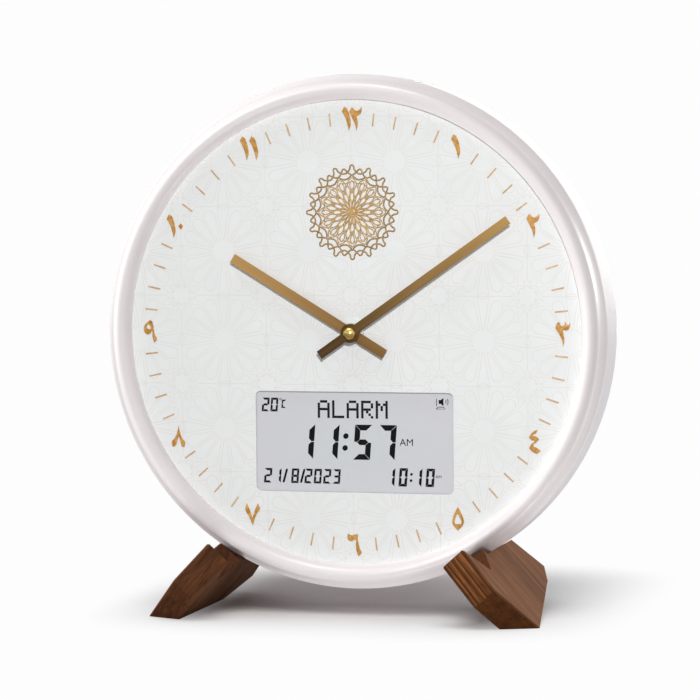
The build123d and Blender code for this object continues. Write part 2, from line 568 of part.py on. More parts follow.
# ---------------------------------------------------------------- hands
def hand(reach, tail, width, z_low, bore, clockwise):
    """A flat bar hand with a round boss."""
    bar = slab((width, reach + tail), z_low, z_low + HAND_THICK, (0, (reach - tail) / 2))
    boss = disc(HAND_BOSS_D / 2, z_low, z_low + HAND_THICK)
    blade = bar + boss - disc(bore, z_low - 1, z_low + 2)
    return Rot(0, 0, -clockwise) * blade


def hour_hand():
    return hand(*HOUR_HAND, HOUR_HAND_Z, PIPE_D / 2 + 0.01, HOUR_ANGLE)


def minute_hand():
    return hand(*MINUTE_HAND, MINUTE_HAND_Z, ARBOR_D / 2 + 0.01, MINUTE_ANGLE)


def hand_nut():
    """Domed brass nut that holds the minute hand."""
    z_low = MINUTE_HAND_Z + HAND_THICK
    nut = disc(CAP_D / 2, z_low, z_low + CAP_HEIGHT)
    nut = fillet(nut.edges().group_by(Axis.Z)[-1], 0.42 * CAP_D)
    return nut - disc(ARBOR_D / 2 + 0.01, z_low - 1, z_low + 2.25)


# ---------------------------------------------------------------- power
def cell(at, z_middle, plus_right=True):
    """A round cell lying along x, with its cap at the plus end."""
    way = 1 if plus_right else -1
    body = Rot(0, 90, 0) * Cylinder(CELL_D / 2, CELL_LENGTH - 1.0)
    body = chamfer(body.edges().filter_by(GeomType.CIRCLE), 0.5)
    tip = Pos(way * (CELL_LENGTH / 2 - 0.5), 0, 0) * (Rot(0, 90, 0) * Cylinder(2.7, 1.6))
    return Pos(at[0] - way * 0.4, at[1], z_middle) * (body + tip)


def bay_cell(i):
    y = BAY_CENTRE_Y + (i - (CELL_COUNT - 1) / 2) * CELL_PITCH
    return (0.0, y)


def battery_cells():
    z_middle = -CASE_BACK + DOOR_THICK + BAY_DEPTH - CELL_D / 2
    return [cell(bay_cell(i), z_middle, i % 2 == 0) for i in range(CELL_COUNT)]


def contact_spring(at, z_middle, side, room):
    """Leaf of bent strip: a back on the end wall and a bowed tongue that presses the cell."""
    strip, width, half = 0.5, 9.0, 4.5
    wall, bow = room - 0.1, CELL_LENGTH / 2 + 0.2
    leaf = Polyline((wall, -half), (wall, half + 1.0), (wall - 1.8, half + 1.0), (bow, 1.4),
                    (bow, -1.4), (wall - 2.0, -half + 0.3), (wall - 2.0 + strip, -half + 0.5),
                    (bow + strip, -1.2), (bow + strip, 1.2), (wall - 1.4, half + 0.5),
                    (wall - strip, half + 0.5), (wall - strip, -half), close=True)
    tongue = extrude(make_face(leaf), width / 2, both=True)
    tongue = tongue if side > 0 else mirror(tongue, Plane.YZ)
    return Pos(at[0], at[1], z_middle) * tongue


def battery_contacts():
    """End plates for the plus caps of the cells."""
    z_middle = -CASE_BACK + DOOR_THICK + BAY_DEPTH - CELL_D / 2
    plates = []
    for i in range(CELL_COUNT):
        side = 1 if i % 2 == 0 else -1
        x = side * (BAY_INNER[0] / 2 - 0.5)
        plates.append(Pos(x, bay_cell(i)[1], z_middle) * Box(0.8, 9.0, 9.0))
    return Compound(children=plates)


def battery_springs():
    z_middle = -CASE_BACK + DOOR_THICK + BAY_DEPTH - CELL_D / 2
    room = BAY_INNER[0] / 2
    return Compound(children=[
        contact_spring(bay_cell(i), z_middle, -1 if i % 2 == 0 else 1, room)
        for i in range(CELL_COUNT)])


def battery_door():
    """Hinged cover of the battery bay, with a sprung latch at its upper edge."""
    z_low, z_high = -CASE_BACK, -CASE_BACK + DOOR_THICK
    plate = slab(DOOR_SIZE, z_low, z_high - 0.1, (0, BAY_CENTRE_Y), DOOR_CORNER_R)
    lower = plate.edges().filter_by(Axis.X).group_by(Axis.Y)[0]
    plate = fillet(lower, 0.42 * DOOR_THICK)
    for side in (-1, 1):
        plate += door_pin(side, DOOR_PIN_D / 2)
    y_top = BAY_CENTRE_Y + DOOR_SIZE[1] / 2
    plate += slab((9.0, 1.6), z_low + 0.8, z_high - 0.1, (0, y_top + 0.4))
    for i in range(4):
        plate -= slab((14.0, 0.8), z_low - 1, z_low + 0.4, (0, y_top - 5.0 - 2.0 * i))
    return plate


def movement_cell():
    return cell((0.0, MOVEMENT_CELL_Y), -MOVEMENT_BACK + CELL_D / 2 + 0.3, plus_right=False)


def movement_contacts():
    """Contact plates at both ends of the movement's cell."""
    z_middle = -MOVEMENT_BACK + CELL_D / 2 + 0.3
    x = MOVEMENT_SIZE / 2 - MOVEMENT_WALL - 0.45
    return Compound(children=[
        Pos(side * x, MOVEMENT_CELL_Y, z_middle) * Box(0.8, 9.0, 9.0) for side in (-1, 1)])


# ---------------------------------------------------------------- sound
def speaker_screw_places():
    r = SPEAKER_D / 2 + BOSS_D / 2 + 0.6
    return [(r * cos(radians(a)), SPEAKER_CENTRE_Y + r * sin(radians(a))) for a in (45, 135, 225, 315)]


def speaker_basket():
    """Pressed frame: flange on the rear wall, a skirt and the seat of the magnet."""
    base = -BACK_INNER
    flange = 1.2
    r = SPEAKER_D / 2
    magnet_r = MAGNET_D / 2
    floor_z = base + SPEAKER_DEPTH - 8.0
    basket = turned([
        Polyline((r, base), (r, base + flange), (r - 4.0, base + flange + 0.4),
                 (magnet_r + 2.0, floor_z), (4.0, floor_z), (4.0, floor_z - 1.0),
                 (magnet_r + 1.2, floor_z - 1.0), (r - 5.2, base + flange),
                 (r - 5.2, base), (r, base))])
    return Pos(0, SPEAKER_CENTRE_Y, 0) * basket


def speaker_cone():
    base = -BACK_INNER
    r = SPEAKER_D / 2 - 6.5
    low = base + 1.3
    cone = turned([
        Polyline((r, low), (r, low + 0.5), (r - 3.5, low + 0.9), (9.0, low + 7.0), (0, low + 4.6),
                 (0, low + 4.0), (9.0, low + 6.3), (r - 3.5, low + 0.2), (r, low))])
    return Pos(0, SPEAKER_CENTRE_Y, 0) * cone


def speaker_magnet():
    floor_z = -BACK_INNER + SPEAKER_DEPTH - 8.0
    magnet = disc(MAGNET_D / 2, floor_z, floor_z + 8.0, (0, SPEAKER_CENTRE_Y))
    return chamfer(magnet.edges().group_by(Axis.Z)[-1], 0.8)


def speaker_clamps():
    """Four clamp washers that hold the flange against the rear wall."""
    z_low = -BACK_INNER + 4.0
    clamps = []
    for x, y in speaker_screw_places():
        clamps.append(ring(4.6, SCREW_D / 2 + FIT, z_low, z_low + 1.0, (x, y)))
    return Compound(children=clamps)


def speaker_screws():
    z_head = -BACK_INNER + 5.0
    return Compound(children=[
        screw(z_head, 5.0, place, forward=False) for place in speaker_screw_places()])


# ---------------------------------------------------------------- buttons
def button_place(i):
    return (BUTTON_X, BUTTON_TOP_Y - i * BUTTON_PITCH)


def button_board_screw_places():
    low_y = BUTTON_TOP_Y - (len(BUTTON_NAMES) - 1) * BUTTON_PITCH
    return [(BUTTON_X, BUTTON_TOP_Y + 0.75 * BUTTON_PITCH), (BUTTON_X, low_y - 0.75 * BUTTON_PITCH)]


def push_button(i):
    """Cap, retaining flange and the plunger that works the switch."""
    place = button_place(i)
    cap = disc(BUTTON_D / 2, -CASE_BACK - BUTTON_PROUD, -BACK_INNER + 0.3, place)
    cap = chamfer(cap.edges().group_by(Axis.Z)[0], 0.6)
    switch_face = SWITCH_BOARD_Z - BOARD_THICK - SWITCH_HEIGHT
    cap += disc(BUTTON_D / 2 + 1.4, -BACK_INNER + 0.2, -BACK_INNER + 1.2, place)
    return cap + disc(1.5, -BACK_INNER + 1.0, switch_face + 0.4, place)


def button_board():
    middle_y = BUTTON_TOP_Y - (len(BUTTON_NAMES) - 1) * BUTTON_PITCH / 2
    length = (len(BUTTON_NAMES) + 1.1) * BUTTON_PITCH
    board = slab((16.0, length), SWITCH_BOARD_Z - BOARD_THICK, SWITCH_BOARD_Z, (BUTTON_X, middle_y), 2.0)
    for place in button_board_screw_places():
        board -= disc(SCREW_D / 2 + FIT, SWITCH_BOARD_Z - 9, SWITCH_BOARD_Z + 1, place)
    return board


def button_switches():
    """Tact switch bodies, each with the bore that the plunger enters."""
    top = SWITCH_BOARD_Z - BOARD_THICK
    bodies = []
    for i in range(len(BUTTON_NAMES)):
        body = slab((SWITCH_SIZE, SWITCH_SIZE), top - SWITCH_HEIGHT, top, button_place(i))
        body -= disc(1.5 + 0.25, top - SWITCH_HEIGHT - 1, top - SWITCH_HEIGHT + BUTTON_TRAVEL + 0.8,
                     button_place(i))
        bodies.append(body)
    return Compound(children=bodies)


def button_board_screws():
    return Compound(children=[
        screw(SWITCH_BOARD_Z, 5.5, place, forward=False) for place in button_board_screw_places()])


# ---------------------------------------------------------------- feet
def case_envelope():
    """The space the case takes up, with the seating gap of the feet."""
    seam = -BEZEL_SKIRT - 0.3
    drum = disc(DRUM_R + FOOT_SEAT_GAP, -CASE_BACK - 60, seam)
    return drum + disc(CASE_R + FOOT_SEAT_GAP, seam, BEZEL_HEIGHT + 1.5)


def right_foot():
    """Splayed plank with a front lip and a seat hollowed to the drum; it stands on its toe and inner edge."""
    splay = radians(FOOT_SPLAY)
    down, across = Vector(sin(splay), -cos(splay), 0), Vector(cos(splay), sin(splay), 0)
    outer_offset = FOOT_OFFSET - FOOT_THICK / 2
    inner_offset = FOOT_OFFSET + FOOT_THICK / 2

    def on_plank(place, offset):
        return across * -offset + down * place[0] + Vector(0, 0, -place[1])

    def floor_at(offset):
        return (AXIS_HEIGHT - offset * sin(splay)) / cos(splay)

    def carried_on(start, end, extra):
        """The place that lies so far down the plank beyond the end of an edge."""
        return (end[0] + extra, end[1] + extra * (end[1] - start[1]) / (end[0] - start[0]))

    tip, front_low, heel, rear, notch = [(CASE_R + down_plank, back) for down_plank, back in (
        FOOT_TIP, FOOT_FRONT_LOW, FOOT_HEEL, FOOT_REAR, FOOT_NOTCH)]
    toe = (floor_at(outer_offset), FOOT_TOE_BACK)
    seat = (CASE_R ** 2 - inner_offset ** 2) ** 0.5 - 0.6
    outline = Polyline(tip, front_low, carried_on(front_low, toe, FOOT_THICK),
                       carried_on(rear, heel, FOOT_THICK), rear, (seat, FOOT_SEAT_REAR_BACK),
                       (seat, FOOT_SEAT_FRONT_BACK), notch, close=True)
    middle = Plane(origin=across * -FOOT_OFFSET, x_dir=down, z_dir=across)
    plank = extrude(make_face(middle.location * outline), FOOT_THICK / 2, dir=across, both=True)
    plank = chamfer(plank.edges(), FOOT_EDGE)
    plank -= case_envelope()
    sole_heel = on_plank(heel, outer_offset)
    sole_toe = on_plank(toe, outer_offset) - sole_heel
    sole_inside = on_plank(carried_on(rear, heel, floor_at(inner_offset) - heel[0]), inner_offset) - sole_heel
    sole = Plane(origin=sole_heel, x_dir=sole_toe, z_dir=sole_toe.cross(sole_inside))
    away = Align.MIN if sole.z_dir.dot(down) > 0 else Align.MAX
    plank -= sole.location * Box(600, 600, 300, align=(Align.CENTER, Align.CENTER, away))
    floor = Pos(0, -AXIS_HEIGHT, 0) * Box(600, 200, 400, align=(Align.CENTER, Align.MAX, Align.CENTER))
    return plank - floor


def left_foot():
    return mirror(right_foot(), Plane.YZ)


# ---------------------------------------------------------------- output
def pieces():
    """Every piece by its node name, in the dial's frame."""
    table = {shape.__name__: shape() for shape in (
        front_bezel, rear_case, bezel_screws, dial_plate,
        lcd_window, lcd_panel, backlight_panel, lcd_connectors, lcd_holder,
        main_board, board_screws, board_chips, temperature_sensor,
        movement_front, movement_back, stem_bush, stem_washer, stem_nut,
        hour_wheel, minute_arbor, intermediate_wheel, setting_knob,
        hour_hand, minute_hand, hand_nut, movement_cell, movement_contacts,
        battery_contacts, battery_springs, battery_door,
        speaker_basket, speaker_cone, speaker_magnet, speaker_clamps, speaker_screws,
        button_board, button_switches, button_board_screws, right_foot, left_foot)}
    for i, name in enumerate(BUTTON_NAMES):
        table[name] = push_button(i)
    for i, solid in enumerate(battery_cells()):
        table[f"battery_cell_{i + 1}"] = solid
    return table


os.makedirs("parts", exist_ok=True)
for name, solid in pieces().items():
    export_step(DIAL_FRAME.location * solid, f"parts/{name}.step")
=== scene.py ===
"""Looks of the azan clock: print and ornament of the dial, display, hands, bezel and wooden feet."""
import json
from math import cos, sin, pi, radians, tan
import bmesh
import bpy
from mathutils import Matrix, Vector


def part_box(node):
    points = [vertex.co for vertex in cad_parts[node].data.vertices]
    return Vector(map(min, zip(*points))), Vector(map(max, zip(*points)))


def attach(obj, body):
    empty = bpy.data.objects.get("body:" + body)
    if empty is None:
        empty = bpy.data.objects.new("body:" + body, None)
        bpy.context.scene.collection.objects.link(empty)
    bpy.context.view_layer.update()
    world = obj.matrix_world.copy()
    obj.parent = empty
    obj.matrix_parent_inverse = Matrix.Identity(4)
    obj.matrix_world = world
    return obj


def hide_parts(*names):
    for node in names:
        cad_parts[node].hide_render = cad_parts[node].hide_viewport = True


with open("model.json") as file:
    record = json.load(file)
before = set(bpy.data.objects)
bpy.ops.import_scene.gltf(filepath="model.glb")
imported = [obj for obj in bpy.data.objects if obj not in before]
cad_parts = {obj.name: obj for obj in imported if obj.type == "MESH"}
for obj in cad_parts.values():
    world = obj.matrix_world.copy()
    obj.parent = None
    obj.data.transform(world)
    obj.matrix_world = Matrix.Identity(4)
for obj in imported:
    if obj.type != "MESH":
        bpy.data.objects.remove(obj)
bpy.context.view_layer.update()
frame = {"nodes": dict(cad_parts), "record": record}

# ---------------------------------------------------------------- places
MM = 0.001
dial_low, dial_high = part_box("dial_plate")
DIAL_CENTRE = Vector(((dial_low.x + dial_high.x) / 2, dial_low.y, (dial_low.z + dial_high.z) / 2))
ON_DIAL = Matrix.Translation(DIAL_CENTRE) @ Matrix.Rotation(radians(90), 4, "X") @ Matrix.Scale(MM, 4)
window_low, window_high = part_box("lcd_window")
glass_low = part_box("lcd_panel")[0]
bezel_low, bezel_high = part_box("front_bezel")

# ---------------------------------------------------------------- sizes, in millimetres on the dial
CASE_R = (bezel_high.x - bezel_low.x) / 2 / MM
SIGHT_R = CASE_R - 14.6               # dial that shows inside the bezel
BEZEL_CREST = (DIAL_CENTRE.y - bezel_low.y) / MM
DISPLAY_SIZE = (119.0, 59.0)
DISPLAY_Y = ((window_low.z + window_high.z) / 2 - DIAL_CENTRE.z) / MM
GLASS_Z = (DIAL_CENTRE.y - glass_low.y) / MM
PRINT_THICK = 0.05

# hand, its body, reach, angle clockwise from twelve, and the painted reflection's tones at the hub and the
# tip
HANDS = (("hour_hand", "hour_train", 83.6, 301.3, "7d5c33", "bc945c"),
         ("minute_hand", "minute_train", 114.5, 55.1, "371c05", "b08b52"))
HAND_EDGE = 0.00012                   # bevels of the hands and the feet, in metres
FOOT_EDGE = 0.0009
FOOT_SPLAY = 42.0                     # each plank leans out this far from upright

TICK_R, TICK_LENGTH, TICK_WIDTH = 124.0, 7.6, 0.95
NUMERAL_R = 124.0
NUMERAL_THICK, NUMERAL_BEVEL = 0.35, 0.1
NUMERAL_SLIMMING = 0.02               # drawn in by this much all round
DIGIT_STEP = 5.8                      # between the two digits of ten, eleven and twelve

MEDALLION_Y = 70.0
MEDALLION_FOLD = 16
WAVE_STEPS, ARCH_STEPS, DROP_STEPS = 16, 10, 9                # points in a fold, and in a side of a drop
OUTLINE_WIDTH, PETAL_WIDTH, HEART_R = 0.95, 0.64, 1.8
# one half of an outer tip: share of the half fold, radius
MEDALLION_TIP = ((0.0, 27.4), (0.12, 27.2), (0.21, 26.6), (0.23, 26.0), (0.24, 25.4), (0.34, 24.5),
                 (0.52, 23.6), (0.75, 22.9), (1.0, 22.6))
# drops in each fold: start, end, half width, share of the fold turned, fullness
MEDALLION_DROPS = ((11.0, 20.2, 2.7, 0.0, 1.35), (12.6, 18.4, 1.3, 0.0, 1.2), (8.4, 15.6, 1.35, 0.5, 1.3),
                   (5.0, 12.4, 1.15, 0.0, 1.3), (1.2, 7.8, 0.6, 0.5, 1.2))

LATTICE_PITCH = 52.0
LATTICE_ORIGIN = (25.5, -4.5)         # one rosette of the lattice, from the dial's centre
LATTICE_SPAN = range(-4, 4)
LATTICE_FOLD = 16
LATTICE_REACH = 137.0                 # the bezel covers the lattice from here on
LATTICE_LINE, LATTICE_THICK = 0.46, 0.03
LATTICE_STEP = 1.2                    # a line is tested this often where it may leave the print
PETAL_START, PETAL_TAPER = 6.7, 3.0   # a petal's inner end, and where it stops widening


# ---------------------------------------------------------------- colours and nodes
def tone(code):
    """Linear colour of a six-figure colour code."""
    parts = [int(code[i:i + 2], 16) / 255 for i in (0, 2, 4)]
    return (*[c / 12.92 if c <= 0.04045 else ((c + 0.055) / 1.055) ** 2.4 for c in parts], 1.0)


def feed(tree, socket, value):
    """Joins an input to another node's socket, or sets it to any other value."""
    if isinstance(value, bpy.types.NodeSocket):
        tree.links.new(value, socket)
    else:
        socket.default_value = value


def set_inputs(tree, node, **inputs):
    """Feeds the inputs of a node by their names, with underscores for spaces."""
    for name, value in inputs.items():
        feed(tree, node.inputs[name.replace("_", " ")], value)


def add(tree, kind, settings=None, **inputs):
    """A node with its settings and inputs."""
    made = tree.nodes.new(kind)
    for name, value in (settings or {}).items():
        setattr(made, name, value)
    set_inputs(tree, made, **inputs)
    return made


def math_node(tree, operation, *values, clamp=False):
    made = tree.nodes.new("ShaderNodeMath")
    made.operation, made.use_clamp = operation, clamp
    for socket, value in zip(made.inputs, values):
        feed(tree, socket, value)
    return made.outputs[0]


def weighed(tree, first, share, second):
    """Two values added in shares that make one."""
    return math_node(tree, "ADD", math_node(tree, "MULTIPLY", first, share),
                     math_node(tree, "MULTIPLY", second, 1 - share))


def blend_colours(tree, factor, first, second, way="MIX"):
    made = tree.nodes.new("ShaderNodeMix")
    made.data_type, made.blend_type = "RGBA", way
    for index, value in ((0, factor), (6, first), (7, second)):
        feed(tree, made.inputs[index], value)
    return made.outputs[2]


def ranged(tree, value, low, high, new_low=0.0, new_high=1.0):
    return add(tree, "ShaderNodeMapRange", Value=value, From_Min=low, From_Max=high,
               To_Min=new_low, To_Max=new_high).outputs[0]


def noise(tree, place, scale, **settings):
    """A noise pattern; a scale of three numbers stretches it along the axes."""
    if isinstance(scale, tuple):
        place, scale = add(tree, "ShaderNodeMapping", Vector=place, Scale=scale).outputs[0], 1.0
    return add(tree, "ShaderNodeTexNoise", Vector=place, Scale=scale, **settings).outputs[0]


SURFACE_OUT = (("Colour", "Color"), ("Roughness", "Float"), ("Height", "Float"))


def group(name, inputs, build):
    """A shader group that gives a surface, with the nodes that the given function makes."""
    tree = bpy.data.node_groups.new(name, "ShaderNodeTree")
    for way, sockets in (("INPUT", inputs), ("OUTPUT", SURFACE_OUT)):
        for label, kind in sockets:
            tree.interface.new_socket(label, in_out=way, socket_type="NodeSocket" + kind)
    entry, leave = tree.nodes.new("NodeGroupInput"), tree.nodes.new("NodeGroupOutput")
    for label, socket in build(tree, entry.outputs).items():
        tree.links.new(socket, leave.inputs[label])
    return tree


def mottle_nodes(tree, given):
    """Faint clouding and a fine grain, for mouldings, print and sheet."""
    clouds = noise(tree, given["Place"], given["Cloud Scale"], Detail=3.0, Roughness=0.55)
    grain = noise(tree, given["Place"], given["Grain Scale"], Detail=2.0, Roughness=0.6)
    mask = ranged(tree, weighed(tree, clouds, 0.7, grain), 0.35, 0.65)
    colour = blend_colours(tree, mask, given["Colour"], given["Second Colour"])
    rough = math_node(tree, "ADD", given["Roughness"], ranged(tree, grain, 0.3, 0.7, -0.05, 0.05))
    return {"Colour": colour, "Roughness": rough, "Height": grain}


def brushed_nodes(tree, given):
    """Long fine scratches along the first axis, with broad lighter and darker bands."""
    lines = noise(tree, given["Place"], (14.0, 900.0, 2600.0), Detail=4.0, Roughness=0.65)
    bands = noise(tree, given["Place"], (26.0, 60.0, 220.0), Detail=1.0)
    mask = ranged(tree, weighed(tree, lines, 0.65, bands), 0.38, 0.62)
    colour = blend_colours(tree, mask, given["Dark"], given["Light"])
    rough = math_node(tree, "ADD", given["Roughness"], ranged(tree, lines, 0.3, 0.7, -0.08, 0.08))
    return {"Colour": colour, "Roughness": rough, "Height": lines}


def wood_nodes(tree, given):
    """Grain that runs along the first axis: quiet flat sides, lined edges and dark end grain."""
    def pattern(scale, **settings):
        return noise(tree, given["Place"], scale, **settings)

    broad = pattern((12.0, 80.0, 130.0), Detail=4.0, Roughness=0.6, Distortion=1.6)
    lines = pattern((14.0, 30.0, 1300.0), Detail=2.0, Roughness=0.55, Distortion=0.3)
    strands = pattern((18.0, 240.0, 400.0), Detail=3.0, Roughness=0.6, Distortion=1.2)
    fibres = pattern((60.0, 1300.0, 1500.0), Detail=3.0, Roughness=0.7)
    pores = pattern((38.0, 620.0, 760.0), Detail=1.0)
    clouds = pattern((160.0, 260.0, 260.0), Detail=5.0, Roughness=0.65)
    facing = add(tree, "ShaderNodeSeparateXYZ", Vector=given["Facing"]).outputs
    flat_side = ranged(tree, math_node(tree, "ABSOLUTE", facing["Z"]), 0.55, 0.85)
    end_grain = ranged(tree, math_node(tree, "ABSOLUTE", facing["X"]), 0.26, 0.36)

    edges = blend_colours(tree, ranged(tree, broad, 0.34, 0.66), given["Dark"], given["Light"])
    lined = math_node(tree, "MULTIPLY", ranged(tree, lines, 0.4, 0.58), given["Lines"])
    edges = blend_colours(tree, lined, edges, given["Vein"])
    quiet = blend_colours(tree, ranged(tree, broad, 0.3, 0.7), given["Flat Dark"], given["Flat Light"])
    quiet = blend_colours(tree, ranged(tree, strands, 0.5, 0.7, 0.0, 0.4), quiet, given["Dark"])
    ends = blend_colours(tree, ranged(tree, clouds, 0.3, 0.7, 0.3, 0.95), given["Vein"], given["Dark"])
    colour = blend_colours(tree, flat_side, edges, quiet)
    colour = blend_colours(tree, math_node(tree, "MULTIPLY", end_grain, given["Ends"]), colour, ends)
    shade = ranged(tree, fibres, 0.3, 0.7, 0.84, 1.1)
    shade = add(tree, "ShaderNodeCombineColor", Red=shade, Green=shade, Blue=shade).outputs[0]
    colour = blend_colours(tree, 1.0, colour, shade, "MULTIPLY")
    open_pore = ranged(tree, pores, 0.63, 0.69)
    colour = blend_colours(tree, math_node(tree, "MULTIPLY", open_pore, 0.4), colour, given["Vein"])
    height = math_node(tree, "SUBTRACT", math_node(tree, "MULTIPLY", fibres, 0.5), lined)
    rough = math_node(tree, "ADD", given["Roughness"], ranged(tree, fibres, 0.3, 0.7, -0.06, 0.08))
    return {"Colour": colour, "Roughness": rough, "Height": height}


MOTTLE = group("mottle", (("Place", "Vector"), ("Colour", "Color"), ("Second Colour", "Color"),
                          ("Cloud Scale", "Float"), ("Grain Scale", "Float"), ("Roughness", "Float")),
               mottle_nodes)
BRUSHED = group("brushed", (("Place", "Vector"), ("Dark", "Color"), ("Light", "Color"),
                            ("Roughness", "Float")), brushed_nodes)
WOOD = group("wood grain", (("Place", "Vector"), ("Facing", "Vector"), ("Dark", "Color"), ("Light", "Color"),
                            ("Vein", "Color"), ("Flat Dark", "Color"), ("Flat Light", "Color"),
                            ("Lines", "Float"), ("Ends", "Float"), ("Roughness", "Float")), wood_nodes)


def use_group(tree, shared, **inputs):
    return add(tree, "ShaderNodeGroup", {"node_tree": shared}, **inputs).outputs


def object_place(tree):
    return tree.nodes.new("ShaderNodeTexCoord").outputs["Object"]


def place_along(tree, clockwise, centre=DIAL_CENTRE):
    """Object coordinates turned so that the first axis runs that way over the dial from the centre."""
    turn = radians(90 - clockwise)
    start = -(Matrix.Rotation(turn, 3, "Y") @ centre)
    return add(tree, "ShaderNodeMapping", Vector=object_place(tree), Rotation=(0, turn, 0),
               Location=start).outputs[0]


def new_material(name):
    material = bpy.data.materials.new(name)
    material.use_nodes = True
    return material, material.node_tree, material.node_tree.nodes["Principled BSDF"]


def join_surface(tree, shader, surface, bump, distance, **inputs):
    """Feeds a group's colour, roughness and height to the shader; named inputs add to them or take over."""
    relief = add(tree, "ShaderNodeBump", Height=surface["Height"], Strength=bump, Distance=distance)
    set_inputs(tree, shader, **{"Base_Color": surface["Colour"], "Roughness": surface["Roughness"],
                                "Normal": relief.outputs[0], **inputs})


def mottled(name, colour, second, roughness=0.5, cloud=40.0, grain=900.0, bump=0.15, **inputs):
    """Moulded plastic, print, card or sheet metal with a faint variation."""
    material, tree, shader = new_material(name)
    surface = use_group(tree, MOTTLE, Place=object_place(tree), Colour=tone(colour),
                        Second_Colour=tone(second), Cloud_Scale=cloud, Grain_Scale=grain, Roughness=roughness)
    join_surface(tree, shader, surface, bump, 0.0002, **inputs)
    return material


def brushed(name, dark, light, roughness=0.35, bump=0.08):
    """Metal brushed from side to side."""
    material, tree, shader = new_material(name)
    surface = use_group(tree, BRUSHED, Place=place_along(tree, 90.0), Dark=tone(dark), Light=tone(light),
                        Roughness=roughness)
    join_surface(tree, shader, surface, bump, 0.0001, Metallic=1.0)
    return material


def hand_gold(name, clockwise, reach, near, far):
    """Brushed antique gold with a painted reflection that makes it darker towards the hub."""
    material, tree, shader = new_material(name)
    place = place_along(tree, clockwise)
    surface = use_group(tree, BRUSHED, Place=place, Dark=tone("4f3c1e"), Light=tone("bd9a5c"), Roughness=0.5)
    along = add(tree, "ShaderNodeSeparateXYZ", Vector=place).outputs["X"]
    # painted reflection: the gold runs from a dark tone at the hub to a bright one at the tip
    painted_reflection_ramp = ranged(tree, along, -0.05 * reach * MM, reach * MM)
    painted_reflection_tone = blend_colours(tree, painted_reflection_ramp, tone(near), tone(far))
    join_surface(tree, shader, surface, 0.15, 0.0001, Metallic=0.3, Specular_IOR_Level=0.2,
                 Base_Color=blend_colours(tree, 0.15, painted_reflection_tone, surface["Colour"]))
    return material


def walnut(name, clockwise, centre=DIAL_CENTRE, lines=0.8, ends=1.0, dark="6b3f20", light="a0653a"):
    """Oiled walnut with its grain along the plank."""
    material, tree, shader = new_material(name)
    normal = tree.nodes.new("ShaderNodeTexCoord").outputs["Normal"]
    facing = add(tree, "ShaderNodeMapping", {"vector_type": "VECTOR"}, Vector=normal,
                 Rotation=(0, radians(90 - clockwise), 0)).outputs[0]
    surface = use_group(tree, WOOD, Place=place_along(tree, clockwise, centre), Facing=facing,
                        Dark=tone(dark), Light=tone(light), Vein=tone("2f1b10"), Flat_Dark=tone("623d26"),
                        Flat_Light=tone("8c6041"), Lines=lines, Ends=ends, Roughness=0.58)
    join_surface(tree, shader, surface, 0.5, 0.0006, Specular_IOR_Level=0.05)
    return material


def gold_ink(name, deep, bright, scale):
    """Metallic ink whose tone shifts in soft facets, as foil print does."""
    material, tree, shader = new_material(name)
    place = object_place(tree)
    cells = add(tree, "ShaderNodeTexVoronoi", Vector=place, Scale=scale).outputs["Color"]
    facet = add(tree, "ShaderNodeSeparateColor", Color=cells).outputs[0]
    soft = noise(tree, place, scale * 1.4, Detail=2.0)
    mask = math_node(tree, "ADD", math_node(tree, "MULTIPLY", facet, 0.45),
                     ranged(tree, soft, 0.3, 0.7, 0.0, 0.55))
    set_inputs(tree, shader, Base_Color=blend_colours(tree, mask, tone(deep), tone(bright)),
               Roughness=ranged(tree, soft, 0.3, 0.7, 0.3, 0.45), Metallic=0.25)
    return material


def clear_sheet(name):
    material, tree, shader = new_material(name)
    surface = use_group(tree, MOTTLE, Place=object_place(tree), Colour=tone("202224"),
                        Second_Colour=tone("26282a"), Cloud_Scale=30.0, Grain_Scale=400.0, Roughness=0.15)
    set_inputs(tree, shader, Base_Color=surface["Colour"], Roughness=surface["Roughness"],
               Specular_IOR_Level=0.1, Alpha=0.03)
    return material


def display_glass(name):
    """Polariser grey, a little cooler round the middle, with a very fine grain and a faint painted glow that
    lifts the shade in the display's recess.
    """
    material, tree, shader = new_material(name)
    centre = Vector((DIAL_CENTRE.x, DIAL_CENTRE.y, DIAL_CENTRE.z + DISPLAY_Y * MM))
    place = add(tree, "ShaderNodeMapping", Vector=object_place(tree), Location=-centre).outputs[0]
    narrowed = add(tree, "ShaderNodeMapping", Vector=place, Scale=(0.55, 0.0, 1.0)).outputs[0]
    away = add(tree, "ShaderNodeVectorMath", {"operation": "LENGTH"}, Vector=narrowed).outputs["Value"]
    colour = blend_colours(tree, ranged(tree, away, 0.004, 0.036), tone("b6bbbb"), tone("bcbabe"))
    grain = noise(tree, place, 2400.0, Detail=1.0)
    colour = blend_colours(tree, ranged(tree, grain, 0.3, 0.7, 0.0, 0.06), colour, tone("9a9ea2"))
    set_inputs(tree, shader, Base_Color=colour, Roughness=ranged(tree, grain, 0.3, 0.7, 0.5, 0.6),
               # painted light: the glass glows faintly to lift the shade of the recess it sits in
               Emission_Color=tone("cacdd1"), Emission_Strength=0.31)
    return material


def cell_jacket(name):
    """Shrink sleeve of a round cell in two plain colours."""
    material, tree, shader = new_material(name)
    place = object_place(tree)
    side = add(tree, "ShaderNodeSeparateXYZ", Vector=place).outputs["X"]
    colour = blend_colours(tree, ranged(tree, side, 0.009, 0.0095), tone("2b2d31"), tone("a9772f"))
    surface = use_group(tree, MOTTLE, Place=place, Colour=tone("ffffff"), Second_Colour=tone("e2e2e2"),
                        Cloud_Scale=60.0, Grain_Scale=1200.0, Roughness=0.3)
    join_surface(tree, shader, surface, 0.1, 0.0001,
                 Base_Color=blend_colours(tree, 1.0, colour, surface["Colour"], "MULTIPLY"))
    return material


